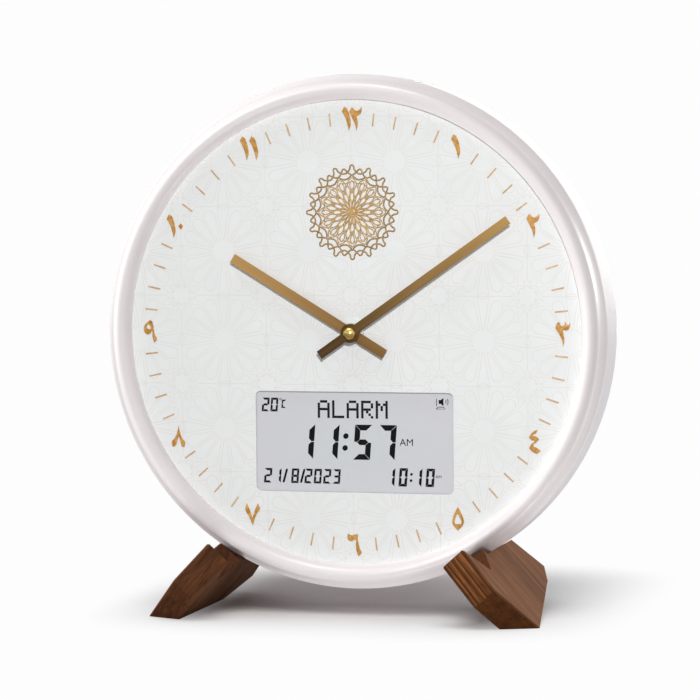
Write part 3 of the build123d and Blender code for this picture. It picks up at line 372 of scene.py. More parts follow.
def circuit_board(name):
    """Green solder mask with the paler runs of copper under it."""
    material, tree, shader = new_material(name)
    place = object_place(tree)
    runs = add(tree, "ShaderNodeTexVoronoi", {"feature": "DISTANCE_TO_EDGE"}, Vector=place, Scale=160.0,
               Randomness=0.55).outputs["Distance"]
    copper = ranged(tree, runs, 0.06, 0.04)
    grain = noise(tree, place, 1500.0)
    relief = add(tree, "ShaderNodeBump", Height=copper, Strength=0.3, Distance=0.0001).outputs[0]
    set_inputs(tree, shader, Base_Color=blend_colours(tree, copper, tone("1d4a2c"), tone("2f6b3f")),
               Roughness=ranged(tree, grain, 0.3, 0.7, 0.28, 0.4), Normal=relief)
    return material


FINISH = {
    "white_plastic": mottled("bezel white", "f1ebeb", "eee6e7", 0.34, cloud=18.0, bump=0.04),
    "case_plastic": mottled("case white", "e4e0e3", "dfdade", 0.42, cloud=22.0, bump=0.1),
    "dial_print": mottled("dial white", "e9eaea", "e5e7e7", 0.6, cloud=55.0, grain=1600.0, bump=0.04),
    "clear_plastic": clear_sheet("clear window"),
    "lcd_grey": display_glass("display glass"),
    "diffuser": mottled("light diffuser", "f2f2ee", "e8e9e6", 0.5),
    "conductive_rubber": mottled("zebra rubber", "35353a", "55555c", 0.7, cloud=600.0, grain=2500.0),
    "circuit_board": circuit_board("circuit board"),
    "black_plastic": mottled("black moulding", "1b1b1d", "232326", 0.5, bump=0.3),
    "button_rubber": mottled("button rubber", "8c8c92", "83838a", 0.62, grain=1400.0, bump=0.3),
    "brass": brushed("turned brass", "a98a3a", "e0c67c", roughness=0.22, bump=0.02),
    "gold_hand": brushed("hand gold", "8a6c3a", "b89254"),
    "stem": mottled("stem lacquer", "e2e3e2", "dcdddc", 0.5),
    "steel": brushed("bright steel", "8f9195", "c9cbcf", roughness=0.3),
    "cell_jacket": cell_jacket("cell jacket"),
    "gear_plastic": mottled("gear plastic", "e8e2d0", "ddd5bf", 0.45),
    "cone_paper": mottled("cone paper", "26262a", "35353a", 0.85, cloud=300.0, grain=1800.0, bump=0.6),
    "magnet": mottled("ferrite", "3a3a3d", "46464a", 0.6, cloud=120.0, bump=0.4),
    "walnut": walnut("walnut", 180.0),
}
GOLD_NUMERALS = gold_ink("numeral gold", "a66c27", "dbab61", 380.0)
GOLD_TICKS = gold_ink("tick gold", "c19968", "d9bc9a", 240.0)
GOLD_OUTLINE = gold_ink("medallion outline", "9a7743", "b9955b", 500.0)
GOLD_INNER = gold_ink("medallion inner", "b58d50", "d6b378", 500.0)
LATTICE_INK = mottled("lattice ink", "dfddd7", "e3e1db", 0.6, cloud=60.0, bump=0.0)
SEGMENT_INK = mottled("display segments", "0c0d10", "131418", 0.7, bump=0.0, Specular_IOR_Level=0.1)


# ---------------------------------------------------------------- making pieces
def piece(name, mesh, material, body="case"):
    """A finished object from a mesh that already lies in its place."""
    obj = bpy.data.objects.new(name, mesh)
    bpy.context.scene.collection.objects.link(obj)
    mesh.materials.clear()
    mesh.materials.append(material)
    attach(obj, body)
    return obj


def mesh_from(name, bm, spot=ON_DIAL, smooth=None):
    mesh = bpy.data.meshes.new(name)
    bmesh.ops.recalc_face_normals(bm, faces=bm.faces)
    bm.to_mesh(mesh)
    bm.free()
    mesh.transform(spot)
    if smooth is not None:
        mesh.shade_smooth()
        mesh.set_sharp_from_angle(angle=radians(smooth))
    return mesh


def mesh_from_curve(curve, flatten=None):
    """The mesh of a curve drawn in millimetres on the dial, pressed flat where a thickness is given."""
    holder = bpy.data.objects.new(curve.name, curve)
    mesh = bpy.data.meshes.new_from_object(holder)
    bpy.data.objects.remove(holder)
    if flatten:
        mesh.transform(Matrix.Diagonal((1, 1, flatten / (2 * curve.bevel_depth), 1)))
    return mesh


def line_curve(name, width):
    curve = bpy.data.curves.new(name, "CURVE")
    curve.dimensions = "3D"
    curve.bevel_depth = width / 2
    curve.bevel_resolution = 0
    return curve


def draw_line(curve, points, closed=False):
    spline = curve.splines.new("POLY")
    spline.points.add(len(points) - 1)
    for point, (x, y) in zip(spline.points, points):
        point.co = (x, y, 0, 1)
    spline.use_cyclic_u = closed


def polar(radius, clockwise, centre=(0.0, 0.0)):
    """A place on the dial by its angle in degrees clockwise from twelve."""
    return (centre[0] + radius * sin(radians(clockwise)), centre[1] + radius * cos(radians(clockwise)))


def drop_outline(inner, outer, half_width, clockwise, centre, fullness):
    """A pointed drop along a ray, widest towards its outer end."""
    across = (cos(radians(clockwise)), -sin(radians(clockwise)))
    sides = []
    for side in (1, -1):
        row = []
        for i in range(DROP_STEPS + 1):
            share = i / DROP_STEPS
            wide = side * half_width * sin(pi * share ** fullness)
            x, y = polar(inner + (outer - inner) * share, clockwise, centre)
            row.append((x + wide * across[0], y + wide * across[1]))
        sides.append(row)
    return sides[0] + sides[1][-2:0:-1]


# ---------------------------------------------------------------- dial print
def dial_ticks():
    """Forty-eight radial strokes between the numerals."""
    bm = bmesh.new()
    for minute in range(60):
        if minute % 5 == 0:
            continue
        made = bmesh.ops.create_cube(bm, size=1.0)["verts"]
        x, y = polar(TICK_R, 6 * minute)
        spot = Matrix.Translation((x, y, PRINT_THICK)) @ Matrix.Rotation(radians(-6 * minute), 4, "Z")
        shape = Matrix.Diagonal((TICK_WIDTH, TICK_LENGTH, 2 * PRINT_THICK, 1))
        bmesh.ops.transform(bm, matrix=spot @ shape, verts=made)
    piece("minute_ticks", mesh_from("minute_ticks", bm), GOLD_TICKS)


# Outlines of the figures: x, y from the figure's middle, and a mark where the outline has a corner.
FIGURES = {
    0: [[(-1.5, 0.0, 1), (-0.3, 1.7, 1), (1.4, 0.3, 1), (0.2, -1.8, 1)]],
    1: [[(-1.5, 7.0, 1), (-2.7, 4.4, 1), (-1.3, 2.0), (0.2, -1.8), (1.4, -6.6, 1), (2.5, -2.6),
         (2.1, 0.6), (1.1, 4.1), (0.0, 6.2)]],
    2: [[(-2.7, 6.7, 1), (-4.2, 4.1, 1), (-2.4, 0.6), (-0.6, -3.5), (0.1, -6.7, 1), (0.8, -3.5),
         (0.7, -0.6), (0.2, 1.5, 1), (1.5, 2.1), (2.7, 3.2), (3.4, 6.7, 1), (2.2, 5.6), (1.2, 4.8),
         (-0.3, 4.7), (-1.5, 5.7)]],
    3: [[(-2.5, 7.0, 1), (-4.1, 4.1), (-1.9, 0.0), (-0.1, -4.1), (0.2, -7.0, 1), (1.0, -3.5),
         (0.5, -0.6), (0.0, 1.5, 1), (0.5, 2.3), (2.3, 2.2), (3.5, 2.9), (4.5, 6.4, 1), (3.7, 5.4),
         (3.1, 5.0), (2.3, 5.6), (1.5, 7.0, 1), (1.0, 5.2), (-0.1, 4.5), (-1.1, 5.0), (-1.8, 6.4)]],
    4: [[(1.7, 7.0, 1), (0.7, 4.9), (-0.9, 3.7), (0.8, 3.0), (2.6, 1.5, 1), (0.7, -0.6), (-0.8, -2.1),
         (1.3, -3.6), (3.5, -5.2, 1), (1.5, -7.0, 1), (-1.3, -5.7), (-3.2, -3.7, 1), (-1.6, -1.1),
         (0.0, 0.3), (-1.9, 1.1), (-3.2, 2.5, 1), (-1.0, 5.6)]],
    5: [[(0.0, 6.9, 1), (2.9, 0.7), (3.3, -2.5), (0.0, -6.9, 1), (-3.2, -2.8), (-2.7, 1.3)],
        [(-0.3, 3.3, 1), (1.8, -0.8), (2.0, -2.7), (0.0, -3.2), (-1.9, -2.7), (-1.8, -0.5)]],
    6: [[(-4.1, 6.4, 1), (-3.8, 2.9), (-1.8, 2.1), (0.5, 2.9), (0.7, 0.0), (1.3, -4.1), (2.4, -6.7, 1),
         (4.1, -4.5), (3.1, -2.3), (2.3, 0.6), (1.9, 3.5), (1.8, 6.2, 1), (0.0, 6.0), (-1.8, 5.5)]],
    7: [[(-3.5, 6.2, 1), (-4.4, 2.9), (-2.3, -1.2), (0.1, -6.4, 1), (1.3, -2.3), (2.9, 0.9), (4.4, 3.0),
         (3.3, 6.3, 1), (1.9, 3.5), (0.5, -0.6), (-0.1, -2.1, 1), (-1.3, 1.2), (-2.4, 4.1)]],
    8: [[(0.2, 6.3, 1), (1.0, 1.9), (2.4, -1.3), (4.1, -3.4), (3.6, -6.3, 1), (2.4, -6.2), (1.3, -3.1),
         (0.4, -0.2), (0.0, 0.1, 1), (-0.7, -2.8), (-2.0, -5.7), (-3.5, -6.3, 1), (-4.1, -3.4),
         (-2.3, -1.3), (-0.8, 1.9)]],
    9: [[(-0.3, 6.6, 1), (-3.0, 4.2), (-4.1, 1.3), (-3.3, -0.9), (-1.6, -1.8), (0.0, -1.1), (1.0, 0.4),
         (1.2, -2.2), (1.7, -4.6), (2.3, -6.6, 1), (4.0, -4.5), (2.9, -2.5), (2.1, 0.7), (1.6, 3.9),
         (0.9, 6.0)],
        [(-1.3, 4.1), (0.2, 2.5), (-0.2, 1.3), (-2.3, 2.2)]],
}
FIGURES_OF_HOUR = {hour: [int(f) for f in str(hour)] for hour in range(1, 13)}


def draw_figure(curve, figure, at):
    for outline in FIGURES[figure]:
        spline = curve.splines.new("BEZIER")
        spline.bezier_points.add(len(outline) - 1)
        spline.use_cyclic_u = True
        for point, (x, y, *corner) in zip(spline.bezier_points, outline):
            point.co = (at[0] + x, at[1] + y, 0)
            point.handle_left_type = point.handle_right_type = "VECTOR" if corner else "AUTO"


def dial_numerals():
    """Upright Eastern Arabic figures, each hour its own raised piece of gold print."""
    for hour, figures in FIGURES_OF_HOUR.items():
        curve = bpy.data.curves.new(f"hour_figure_{hour}", "CURVE")
        curve.dimensions, curve.fill_mode = "2D", "BOTH"
        curve.resolution_u = 5
        curve.extrude = NUMERAL_THICK / 2 - NUMERAL_BEVEL
        curve.bevel_depth, curve.bevel_resolution = NUMERAL_BEVEL, 1
        curve.offset = -NUMERAL_SLIMMING
        x, y = polar(NUMERAL_R, 30 * hour)
        for i, figure in enumerate(figures):
            draw_figure(curve, figure, (x + (i - (len(figures) - 1) / 2) * DIGIT_STEP, y))
        mesh = mesh_from_curve(curve)
        mesh.transform(ON_DIAL @ Matrix.Translation((0, 0, NUMERAL_THICK / 2)))
        piece(f"hour_figure_{hour}", mesh, GOLD_NUMERALS)


def wavy_ring(radius, swing, twist, phase):
    """A closed line that waves in and out once per fold; enough twist turns each crest into a loop."""
    points = []
    for i in range(MEDALLION_FOLD * WAVE_STEPS):
        angle = 2 * pi * i / (MEDALLION_FOLD * WAVE_STEPS)
        wave = MEDALLION_FOLD * angle + phase
        turned = angle - twist * sin(wave)
        r = radius + swing * cos(wave)
        points.append((r * sin(turned), MEDALLION_Y + r * cos(turned)))
    return points


def pointed_ring(radius, rise):
    """A ring of pointed arches."""
    points = []
    for i in range(MEDALLION_FOLD * ARCH_STEPS):
        angle = 2 * pi * i / (MEDALLION_FOLD * ARCH_STEPS)
        r = radius + rise * (1 - abs(sin(MEDALLION_FOLD * angle / 2)) ** 0.8)
        points.append((r * sin(angle), MEDALLION_Y + r * cos(angle)))
    return points


def tip_ring():
    """The outermost strand: a small onion-shaped tip on each ray, with a dip between."""
    half = radians(180 / MEDALLION_FOLD)
    tip = [(-share, radius) for share, radius in reversed(MEDALLION_TIP[1:-1])] + list(MEDALLION_TIP)
    points = []
    for i in range(MEDALLION_FOLD):
        for share, radius in tip:
            angle = (2 * i + share) * half
            points.append((radius * sin(angle), MEDALLION_Y + radius * cos(angle)))
    return points


def medallion():
    """Round sixteen-fold ornament above the hands: twined outer lines round rings of drops and petals."""
    centre, pitch = (0.0, MEDALLION_Y), 360 / MEDALLION_FOLD
    outer = line_curve("medallion_outline", OUTLINE_WIDTH)
    draw_line(outer, tip_ring(), closed=True)
    draw_line(outer, wavy_ring(23.6, 1.9, 0.02, pi), closed=True)
    draw_line(outer, pointed_ring(19.3, 2.5), closed=True)
    inner = line_curve("medallion_petals", PETAL_WIDTH)
    draw_line(inner, pointed_ring(17.0, 1.4), closed=True)
    for i in range(MEDALLION_FOLD):
        for start, end, half_width, turned, fullness in MEDALLION_DROPS:
            clockwise = (i + turned) * pitch
            draw_line(inner, drop_outline(start, end, half_width, clockwise, centre, fullness), closed=True)
    for name, curve, material, thick in (("medallion_outline", outer, GOLD_OUTLINE, 0.22),
                                         ("medallion_petals", inner, GOLD_INNER, 0.16)):
        mesh = mesh_from_curve(curve, thick)
        mesh.transform(ON_DIAL @ Matrix.Translation((0, 0, PRINT_THICK)))
        piece(name, mesh, material)
    bm = bmesh.new()
    bmesh.ops.create_uvsphere(bm, u_segments=32, v_segments=12, radius=HEART_R)
    bmesh.ops.scale(bm, vec=(1, 1, 0.15), verts=bm.verts)
    mesh = mesh_from("medallion_heart", bm, ON_DIAL @ Matrix.Translation((0, MEDALLION_Y, PRINT_THICK)), 60)
    piece("medallion_heart", mesh, GOLD_INNER)


def petal_line(clockwise, centre, wide_at=21.2, end=25.2, gap=0.62):
    """A paddle-shaped petal that fills its share of the round and ends in a soft arch."""
    half_share = radians(180 / LATTICE_FOLD)
    half = wide_at * sin(half_share) - gap
    straight = wide_at - PETAL_TAPER
    shape = [(PETAL_START, 0.5), (straight, straight * sin(half_share) - gap)]
    shape += [(wide_at + (end - wide_at) * sin(a), half * cos(a)) for a in (0.0, 0.5, 0.9, 1.2)]
    shape += [(end, 0.0)] + [(along, -wide) for along, wide in reversed(shape)]
    turn = radians(clockwise)
    return [(centre[0] + along * sin(turn) + wide * cos(turn),
             centre[1] + along * cos(turn) - wide * sin(turn)) for along, wide in shape + shape[:1]]


def lattice_rosette(centre):
    """The petals of one rosette; those on the axes run on to the tile's edge."""
    return [petal_line(i * 360 / LATTICE_FOLD, centre) if i % 4 else
            petal_line(i * 360 / LATTICE_FOLD, centre, wide_at=24.6, end=27.6, gap=1.3)
            for i in range(LATTICE_FOLD)]


def lattice_star(centre):
    """An eight-pointed star in a ring of small lobes, and the lines along the tiles' edges."""
    point, notch, shoulder, lobes = 6.4, 4.9, 7.6, (9.4, 8.4)
    spur = ((8.0, 12), (14.6, 23), (9.0, 38))
    lines = [[polar((point, notch)[i % 2], 22.5 * i, centre) for i in range(17)]]
    for i in range(8):
        lobe = ((notch, -22.5), (shoulder, -14), (lobes[i % 2], 0), (shoulder, 14), (notch, 22.5))
        lines.append([polar(radius, 45 * i + turned, centre) for radius, turned in lobe])
    for i in range(4):
        lines.append([polar(lobes[0], 90 * i, centre), polar(LATTICE_PITCH / 2, 90 * i, centre)])
        for side in (-1, 1):
            lines.append([polar(radius, 90 * i + side * turned, centre) for radius, turned in spur])
    return lines


def shows(point):
    """True where the lattice is printed: inside the bezel and clear of the display."""
    x, y = point
    off_display = abs(x) > DISPLAY_SIZE[0] / 2 or abs(y - DISPLAY_Y) > DISPLAY_SIZE[1] / 2
    return x * x + y * y < LATTICE_REACH ** 2 and off_display


def printed_runs(points):
    """Cuts a line where it leaves the printed part of the dial."""
    run = []
    for (ax, ay), (bx, by) in zip(points, points[1:]):
        count = max(1, round(((bx - ax) ** 2 + (by - ay) ** 2) ** 0.5 / LATTICE_STEP))
        whole = all(shows((ax + (bx - ax) * share, ay + (by - ay) * share)) for share in (0, 0.5, 1))
        stops = (0, count) if whole else range(count + 1)
        for i in stops:
            spot = (ax + (bx - ax) * i / count, ay + (by - ay) * i / count)
            if shows(spot):
                if not run or run[-1] != spot:
                    run.append(spot)
            else:
                if len(run) > 1:
                    yield run
                run = []
    if len(run) > 1:
        yield run


def dial_lattice():
    """Pale star lattice over the whole dial."""
    curve = line_curve("dial_lattice", LATTICE_LINE)
    for column in LATTICE_SPAN:
        for row in LATTICE_SPAN:
            centre = (LATTICE_ORIGIN[0] + column * LATTICE_PITCH, LATTICE_ORIGIN[1] + row * LATTICE_PITCH)
            star = (centre[0] + LATTICE_PITCH / 2, centre[1] + LATTICE_PITCH / 2)
            for line in lattice_rosette(centre) + lattice_star(star):
                for run in printed_runs(line):
                    draw_line(curve, run)
    mesh = mesh_from_curve(curve, LATTICE_THICK)
    mesh.shade_flat()
    mesh.transform(ON_DIAL)
    piece("dial_lattice", mesh, LATTICE_INK)


# ---------------------------------------------------------------- display
SEGMENTS_OF = {"0": "abcdef", "1": "bc", "2": "abged", "3": "abgcd", "5": "afgcd", "7": "abc", "8": "abcdefg",
               "C": "afed"}
SEGMENT_LEAN = radians(4.5)
MARK_THICK, MARK_LIFT = 0.03, 0.01    # the display's marks, and their gap from the glass
CAPITAL_SHARE = 0.69                  # height of a capital in a size of type


def slash(bm, left, low, height, stroke):
    """The bar with pointed ends between the figures of a date."""
    across, length = 0.2 * height, (0.2 ** 2 + 1) ** 0.5 * height
    ux, uy, half = across / length, height / length, stroke / 2
    shape = ((0, 0), (half, half), (length - half, half), (length, 0), (length - half, -half), (half, -half))
    bm.faces.new([bm.verts.new((left + ux * u - uy * v, low + uy * u + ux * v, 0)) for u, v in shape])


def segment_figure(bm, figure, left, low, width, height, stroke):
    """A seven-segment figure whose bars meet in mitred corners."""
    gap, middle = 0.04 * stroke, height / 2
    upright = [(0, height - gap), (stroke, height - stroke - gap), (stroke, middle + stroke / 2 + gap),
               (stroke / 2, middle + gap), (0, middle + 2 * gap)]
    flat = [(gap, height), (width - gap, height), (width - stroke - gap, height - stroke),
            (stroke + gap, height - stroke)]
    cross = [(stroke / 2 + gap, middle), (stroke + gap, middle + stroke / 2),
             (width - stroke - gap, middle + stroke / 2), (width - stroke / 2 - gap, middle),
             (width - stroke - gap, middle - stroke / 2), (stroke + gap, middle - stroke / 2)]
    bars = {"a": (flat, 0, 0), "d": (flat, 0, 1), "f": (upright, 0, 0), "b": (upright, 1, 0),
            "e": (upright, 0, 1), "c": (upright, 1, 1), "g": (cross, 0, 0)}
    for name in SEGMENTS_OF[figure]:
        shape, across, down = bars[name]
        spots = [(width - x if across else x, height - y if down else y) for x, y in shape]
        bm.faces.new([bm.verts.new((left + x, low + y, 0)) for x, y in spots])


def segment_row(bm, text, left, low, size, stroke, pitch, point_gap):
    """Figures in a row, with colon dots or slashes between."""
    width, height = size
    x = left
    for mark in text:
        if mark == ":":
            for share in (0.33, 0.67):
                made = bmesh.ops.create_circle(bm, cap_ends=True, radius=0.5 * stroke, segments=20)["verts"]
                bmesh.ops.translate(bm, verts=made, vec=(x - 0.2, low + share * height, 0))
            x += point_gap
        elif mark == "/":
            slash(bm, x + 0.1 * point_gap, low, height, stroke)
            x += point_gap
        else:
            segment_figure(bm, mark, x, low, width, height, stroke)
            x += pitch


def lean(bm, low):
    """Leans what the mesh holds to the right about its foot line."""
    shear = Matrix.Identity(4)
    shear[0][1], shear[0][3] = tan(SEGMENT_LEAN), -low * tan(SEGMENT_LEAN)
    bmesh.ops.transform(bm, matrix=shear, verts=bm.verts)


def on_glass(name, bm):
    """Gives flat display marks a little thickness and places them just off the glass."""
    spot = ON_DIAL @ Matrix.Translation((0, DISPLAY_Y, GLASS_Z + MARK_LIFT + MARK_THICK))
    made = bmesh.ops.extrude_face_region(bm, geom=bm.faces[:])["geom"]
    moved = [g for g in made if isinstance(g, bmesh.types.BMVert)]
    bmesh.ops.translate(bm, vec=(0, 0, -MARK_THICK), verts=moved)
    piece(name, mesh_from(name, bm, spot), SEGMENT_INK)


LETTER_DOTS = {
    "A": ("01110", "10001", "10001", "11111", "10001", "10001", "10001"),
    "L": ("10000", "10000", "10000", "10000", "10000", "10000", "11111"),
    "R": ("11110", "10001", "10001", "11110", "10100", "10010", "10001"),
    "M": ("10001", "11011", "10101", "10101", "10001", "10001", "10001"),
}


def dot_word(name, word, left, top, pitch, row_pitch):
    """A word in five by seven dots."""
    bm = bmesh.new()
    for i, letter in enumerate(word):
        for row, dots in enumerate(LETTER_DOTS[letter]):
            for column, dot in enumerate(dots):
                if dot == "1":
                    made = bmesh.ops.create_grid(bm, x_segments=1, y_segments=1, size=0.5)["verts"]
                    spot = (left + (6 * i + column + 0.5) * pitch, top - (row + 0.5) * row_pitch, 0)
                    bmesh.ops.scale(bm, vec=(pitch * 0.98, row_pitch * 0.98, 1), verts=made)
                    bmesh.ops.translate(bm, vec=spot, verts=made)
    on_glass(name, bm)


def small_text(name, text, left, low, height):
    """Small printed capitals on the glass."""
    curve = bpy.data.curves.new(name, "FONT")
    curve.body = text
    curve.size = height / CAPITAL_SHARE
    curve.extrude = MARK_THICK / 2
    curve.resolution_u = 3
    mesh = mesh_from_curve(curve)
    lift = GLASS_Z + MARK_LIFT + MARK_THICK / 2
    mesh.transform(ON_DIAL @ Matrix.Translation((left, DISPLAY_Y + low, lift)))
    piece(name, mesh, SEGMENT_INK)


def display_marks():
    """Everything that the display shows, from the middle of its opening."""
    # name, text, left, low, size of a figure, stroke, step to the next figure, room for a colon or slash
    rows = (("time_figures", "11:57", -36.0, -10.4, (10.3, 20.5), 3.3, 14.75, 5.0),
            ("day_figures", "21/", -55.8, -24.8, (4.6, 8.6), 1.3, 5.7, 5.2),
            ("date_figures", "8/2023", -39.2, -24.8, (4.5, 8.6), 1.3, 5.7, 2.4),
            ("alarm_figures", "10:10", 18.3, -25.6, (5.0, 10.7), 1.6, 7.5, 1.2),
            ("temperature_figures", "20", -56.8, 17.2, (4.4, 8.1), 1.25, 5.3, 3.0),
            ("degree_letter", "C", -44.7, 19.3, (2.6, 4.9), 0.9, 3.0, 3.0))
    for name, text, left, low, size, stroke, pitch, gap in rows:
        bm = bmesh.new()
        segment_row(bm, text, left, low, size, stroke, pitch, gap)
        lean(bm, low)
        on_glass(name, bm)
    dot_word("alarm_word", "ALARM", -22.6, 24.2, 1.46, 1.49)
    small_text("time_half", "AM", 26.7, -1.8, 4.0)
    small_text("alarm_half", "AM", 48.0, -20.5, 1.8)
    ring_x, ring_y, ring_r = -45.2, 24.5, 0.55
    line_mark("degree_ring", [[(ring_x + ring_r * cos(pi * i / 8), ring_y + ring_r * sin(pi * i / 8))
                               for i in range(17)]], 0.3)
    sound_mark()


def line_mark(name, lines, width):
    """Thin lines on the glass, from the middle of the display's opening."""
    curve = line_curve(name, width)
    for points in lines:
        draw_line(curve, points)
    mesh = mesh_from_curve(curve, MARK_THICK)
    mesh.transform(ON_DIAL @ Matrix.Translation((0, DISPLAY_Y, GLASS_Z + MARK_THICK)))
    piece(name, mesh, SEGMENT_INK)


def sound_mark():
    """A plain loudspeaker sign with two arcs over a small stand."""
    bm = bmesh.new()
    horn = [(50.2, 22.9), (51.4, 22.9), (53.0, 21.6), (53.0, 26.4), (51.4, 25.1), (50.2, 25.1)]
    bm.faces.new([bm.verts.new((x, y, 0)) for x, y in horn])
    on_glass("sound_sign", bm)
    arcs = [[(53.3 + r * cos(radians(a)), 24.0 + r * sin(radians(a))) for a in range(-45, 46, 15)]
            for r in (1.3, 2.5)]
    stand = [(48.6, 19.9), (54.2, 19.9), (53.0, 21.0), (49.8, 21.0), (48.6, 19.9)]
    post = [(48.9, 21.6), (48.9, 25.8)]
    line_mark("sound_lines", arcs + [stand, post], 0.4)


# ---------------------------------------------------------------- smooth and softened copies
SHARP = radians(30)                   # edges that turn more than this are softened


def softened(node, body, material, width, segments=3):
    """A merged copy of a CAD node with its sharp edges rounded, which stands for the node."""
    mesh = frame["nodes"][node].data.copy()
    bm = bmesh.new()
    bm.from_mesh(mesh)
    bmesh.ops.remove_doubles(bm, verts=bm.verts, dist=2e-6)
    bmesh.ops.dissolve_limit(bm, angle_limit=radians(1), verts=bm.verts, edges=bm.edges)
    clean = bpy.data.meshes.new(node + "_finished")
    bm.to_mesh(clean)
    bm.free()
    if "custom_normal" in clean.attributes:
        clean.attributes.remove(clean.attributes["custom_normal"])
    clean.shade_smooth()
    clean.set_sharp_from_angle(angle=SHARP)
    obj = piece(node + "_finished", clean, material, body)
    bevel = obj.modifiers.new("edges", "BEVEL")
    bevel.width, bevel.segments = width, segments
    bevel.limit_method, bevel.angle_limit = "ANGLE", SHARP
    bevel.harden_normals = True
    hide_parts(node)


def spun(name, profile, material, body="case", steps=256, smooth=40):
    """A turned piece from its closed half section in (radius, forward)."""
    bm = bmesh.new()
    ring = [bm.verts.new((r, 0, z)) for r, z in profile]
    edges = [bm.edges.new(pair) for pair in zip(ring, ring[1:] + ring[:1])]
    bmesh.ops.spin(bm, geom=ring + edges, cent=(0, 0, 0), axis=(0, 0, 1), angle=2 * pi, steps=steps,
                   use_merge=True)
    bmesh.ops.remove_doubles(bm, verts=bm.verts, dist=1e-4)
    return piece(name, mesh_from(name, bm, ON_DIAL, smooth), material, body)


def arc_through(start, middle, end, steps):
    """Points of the circular arc through three places, the last one left out."""
    (ax, ay), (bx, by), (cx, cy) = start, middle, end
    a, b, c = ax * ax + ay * ay, bx * bx + by * by, cx * cx + cy * cy
    d = 2 * (ax * (by - cy) + bx * (cy - ay) + cx * (ay - by))
    centre = Vector(((a * (by - cy) + b * (cy - ay) + c * (ay - by)) / d,
                     (a * (cx - bx) + b * (ax - cx) + c * (bx - ax)) / d))
    first, last = Vector(start) - centre, Vector(end) - centre
    sweep = first.angle_signed(last)
    return [tuple(centre + Matrix.Rotation(-sweep * i / steps, 2) @ first) for i in range(steps)]


def smooth_bezel():
    """The same section as the CAD ring, spun fine enough for a clean highlight."""
    wall, skirt, lip, toe = 2.4, 3.0, 0.05, 0.75      # the flank is rounded into the skirt over the toe
    inner, foot = SIGHT_R, -0.4 * skirt
    crest, rim = (inner + 6.1, BEZEL_CREST), (CASE_R - 3.8, 3.0)
    swell = (crest[0] + 0.74 * (rim[0] - crest[0]), rim[1] + 0.64 * (crest[1] - rim[1]))
    profile = arc_through((inner, lip), (inner + 1.75, 0.68 * BEZEL_CREST), crest, 12)
    profile += arc_through(crest, swell, rim, 10) + [rim]
    profile += arc_through((CASE_R - 0.72, foot + 0.8), (CASE_R - 0.18, foot), (CASE_R, foot - toe), 4)
    profile += [(CASE_R, foot - toe), (CASE_R, -skirt), (CASE_R - wall, -skirt), (CASE_R - wall, -0.8),
                (rim[0] - 1.9, rim[1] - 1.8), (crest[0], BEZEL_CREST - wall), (inner + 3.6, 3.1),
                (inner + wall, lip)]
    ring = spun("bezel_ring", profile, FINISH["white_plastic"], smooth=50)
    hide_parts("front_bezel")


def domed_nut():
    """Brass dome on the end of the minute arbor."""
    low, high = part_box("hand_nut")
    base, top = (DIAL_CENTRE.y - high.y) / MM, (DIAL_CENTRE.y - low.y) / MM
    r, bore, chamfer, rim, depth = (high.x - low.x) / 2 / MM, 1.5, 0.3, 0.9, 2.25
    profile = [(bore, base), (r - chamfer, base), (r, base + chamfer), (r, base + rim)]
    for i in range(1, 9):
        angle = radians(90 * i / 9)
        profile.append((r * cos(angle), base + rim + (top - base - rim) * sin(angle)))
    profile += [(0.0, top), (0.0, base + depth), (bore, base + depth)]
    nut = spun("dome_nut", profile, FINISH["brass"], "minute_train", steps=48)
    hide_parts("hand_nut")


# ---------------------------------------------------------------- stage
FLOOR_SIZE = 6.0
FLOOR_BOUNCE = 0.6                    # the floor's tone for light that bounces off it
# fields of the floor in metres: middle, half size, and the share of it where the fading begins
SHADOW_FIELD = ((0.0, 0.065), (0.17, 0.185), 0.48)
UNDER_FIELD = ((-0.035, 0.075), (0.145, 0.165), 0.25)
UNDER_TONE = (0.68, 0.62, 0.61)       # the contact shadow close under the case
BACKDROP = 0.983
ROOM_LIGHT = 0.2
# name, place, size, watts, and the things that it alone lights or leaves out
LAMPS = (("hands", (0.58, -1.83, 0.72), 0.12, 26.8, "EXCLUDE", "drum bezel left right floor"),
         ("top", (-0.25, -0.2, 1.95), 1.4, 19.0, "EXCLUDE", "drum bezel floor"),
         ("floor", (0.45, -0.8, 1.85), 1.6, 23.2, "INCLUDE", "floor"),
         ("case", (-1.06, -1.33, 1.22), 0.6, 13.7, "INCLUDE", "drum bezel left right"),
         ("feet", (0.2, -1.9, 0.3), 0.8, 13.0, "INCLUDE", "left right"),
         ("left", (-1.9, -0.5, 0.3), 0.6, 15.0, "INCLUDE", "drum bezel"),
         ("above", (-0.2, -0.8, 1.9), 0.6, 14.1, "INCLUDE", "drum bezel"),
         ("low", (0.1, -1.2, -1.0), 0.6, 6.4, "INCLUDE", "drum bezel"),
         ("under", (0.9, -0.2, -1.0), 0.5, 5.4, "INCLUDE", "drum bezel"),
         ("right", (1.2, 0.8, 0.5), 0.5, 10.8, "INCLUDE", "drum bezel right"),
         ("back", (0.0, 2.1, 0.4), 0.9, 17.0, "EXCLUDE", "bezel left right floor"))


def with_itself(tree, operation, vector, output):
    """A vector node that takes the same vector twice."""
    made = add(tree, "ShaderNodeVectorMath", {"operation": operation})
    for socket in made.inputs[:2]:
        tree.links.new(vector, socket)
    return made.outputs[output]


